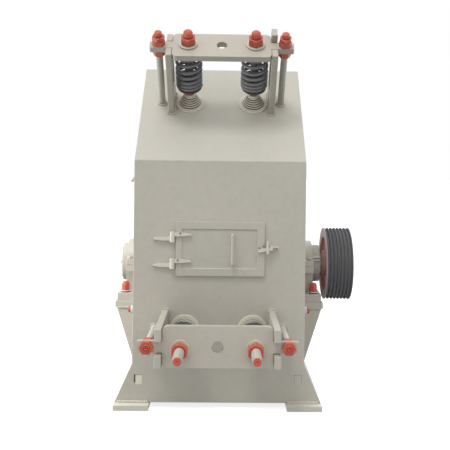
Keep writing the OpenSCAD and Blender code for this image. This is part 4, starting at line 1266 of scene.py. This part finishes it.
camera = bpy.data.objects.new("photo_camera", bpy.data.cameras.new("photo_camera"))
scene.collection.objects.link(camera)
camera.location = (0.0246, -4.206, 1.1894)
camera.rotation_euler = (radians(90), radians(-0.693), radians(-0.971))
camera.data.lens = 59.81
camera.data.sensor_width = 36
camera.data.shift_x = -0.0299
camera.data.shift_y = -0.1470
scene.camera = camera


def lamp(name, place, target, size, power, colour="#FFFFFF"):
    """A round lamp at a place, turned to face its target."""
    data = bpy.data.lights.new(name, "AREA")
    data.color = linear(colour)[:3]
    data.shape = "DISK"
    data.size = size
    data.energy = power
    light = bpy.data.objects.new(name, data)
    light.location = place
    light.rotation_euler = (Vector(target) - Vector(place)).to_track_quat("-Z", "Y").to_euler()
    scene.collection.objects.link(light)


lamp("key_lamp", (-1.75, -4.65, 8.7), (0, -0.5, 0.9), size=2.4, power=225)
lamp("left_lamp", (-1.75, -0.55, 0.95), (-0.45, 0.05, 0.52), size=0.5, power=18)
lamp("right_lamp", (1.9, 1.7, 2.4), (0.40, -0.10, 1.20), size=0.8, power=45, colour="#D2E2FF")

world = bpy.data.worlds.new("white_studio")
scene.world = world
world.use_nodes = True
tree = world.node_tree
backdrop = tree.nodes["Background"]
backdrop.inputs["Color"].default_value = (1, 1, 1, 1)
ray = add_node(tree, "ShaderNodeLightPath")
seen = add_node(
    tree,
    "ShaderNodeMath",
    links={0: ray.outputs["Is Camera Ray"], 1: ray.outputs["Is Glossy Ray"]},
    operation="MAXIMUM",
)
seen = add_node(
    tree,
    "ShaderNodeMath",
    links={0: seen.outputs["Value"], 1: ray.outputs["Is Transmission Ray"]},
    operation="MAXIMUM",
)
strength = add_node(
    tree,
    "ShaderNodeMapRange",
    {"To Min": 0.90, "To Max": 1.0},
    {"Value": seen.outputs["Value"]},
)
tree.links.new(strength.outputs["Result"], backdrop.inputs["Strength"])

white = bpy.data.materials.new("white_floor_paint")
white.use_nodes = True
tree = white.node_tree
shader = tree.nodes["Principled BSDF"]
shader.inputs["Base Color"].default_value = (0.44, 0.44, 0.44, 1)
shader.inputs["Roughness"].default_value = 0.9
shader.inputs["Emission Color"].default_value = (1, 1, 1, 1)
ray = add_node(tree, "ShaderNodeLightPath")
seen = add_node(
    tree,
    "ShaderNodeMath",
    links={0: ray.outputs["Is Camera Ray"], 1: ray.outputs["Is Glossy Ray"]},
    operation="MAXIMUM",
)
glow = add_node(
    tree,
    "ShaderNodeMapRange",
    {"To Min": 0.0, "To Max": 0.80},
    {"Value": seen.outputs["Value"]},
)
tree.links.new(glow.outputs["Result"], shader.inputs["Emission Strength"])
floor.data.materials.append(white)
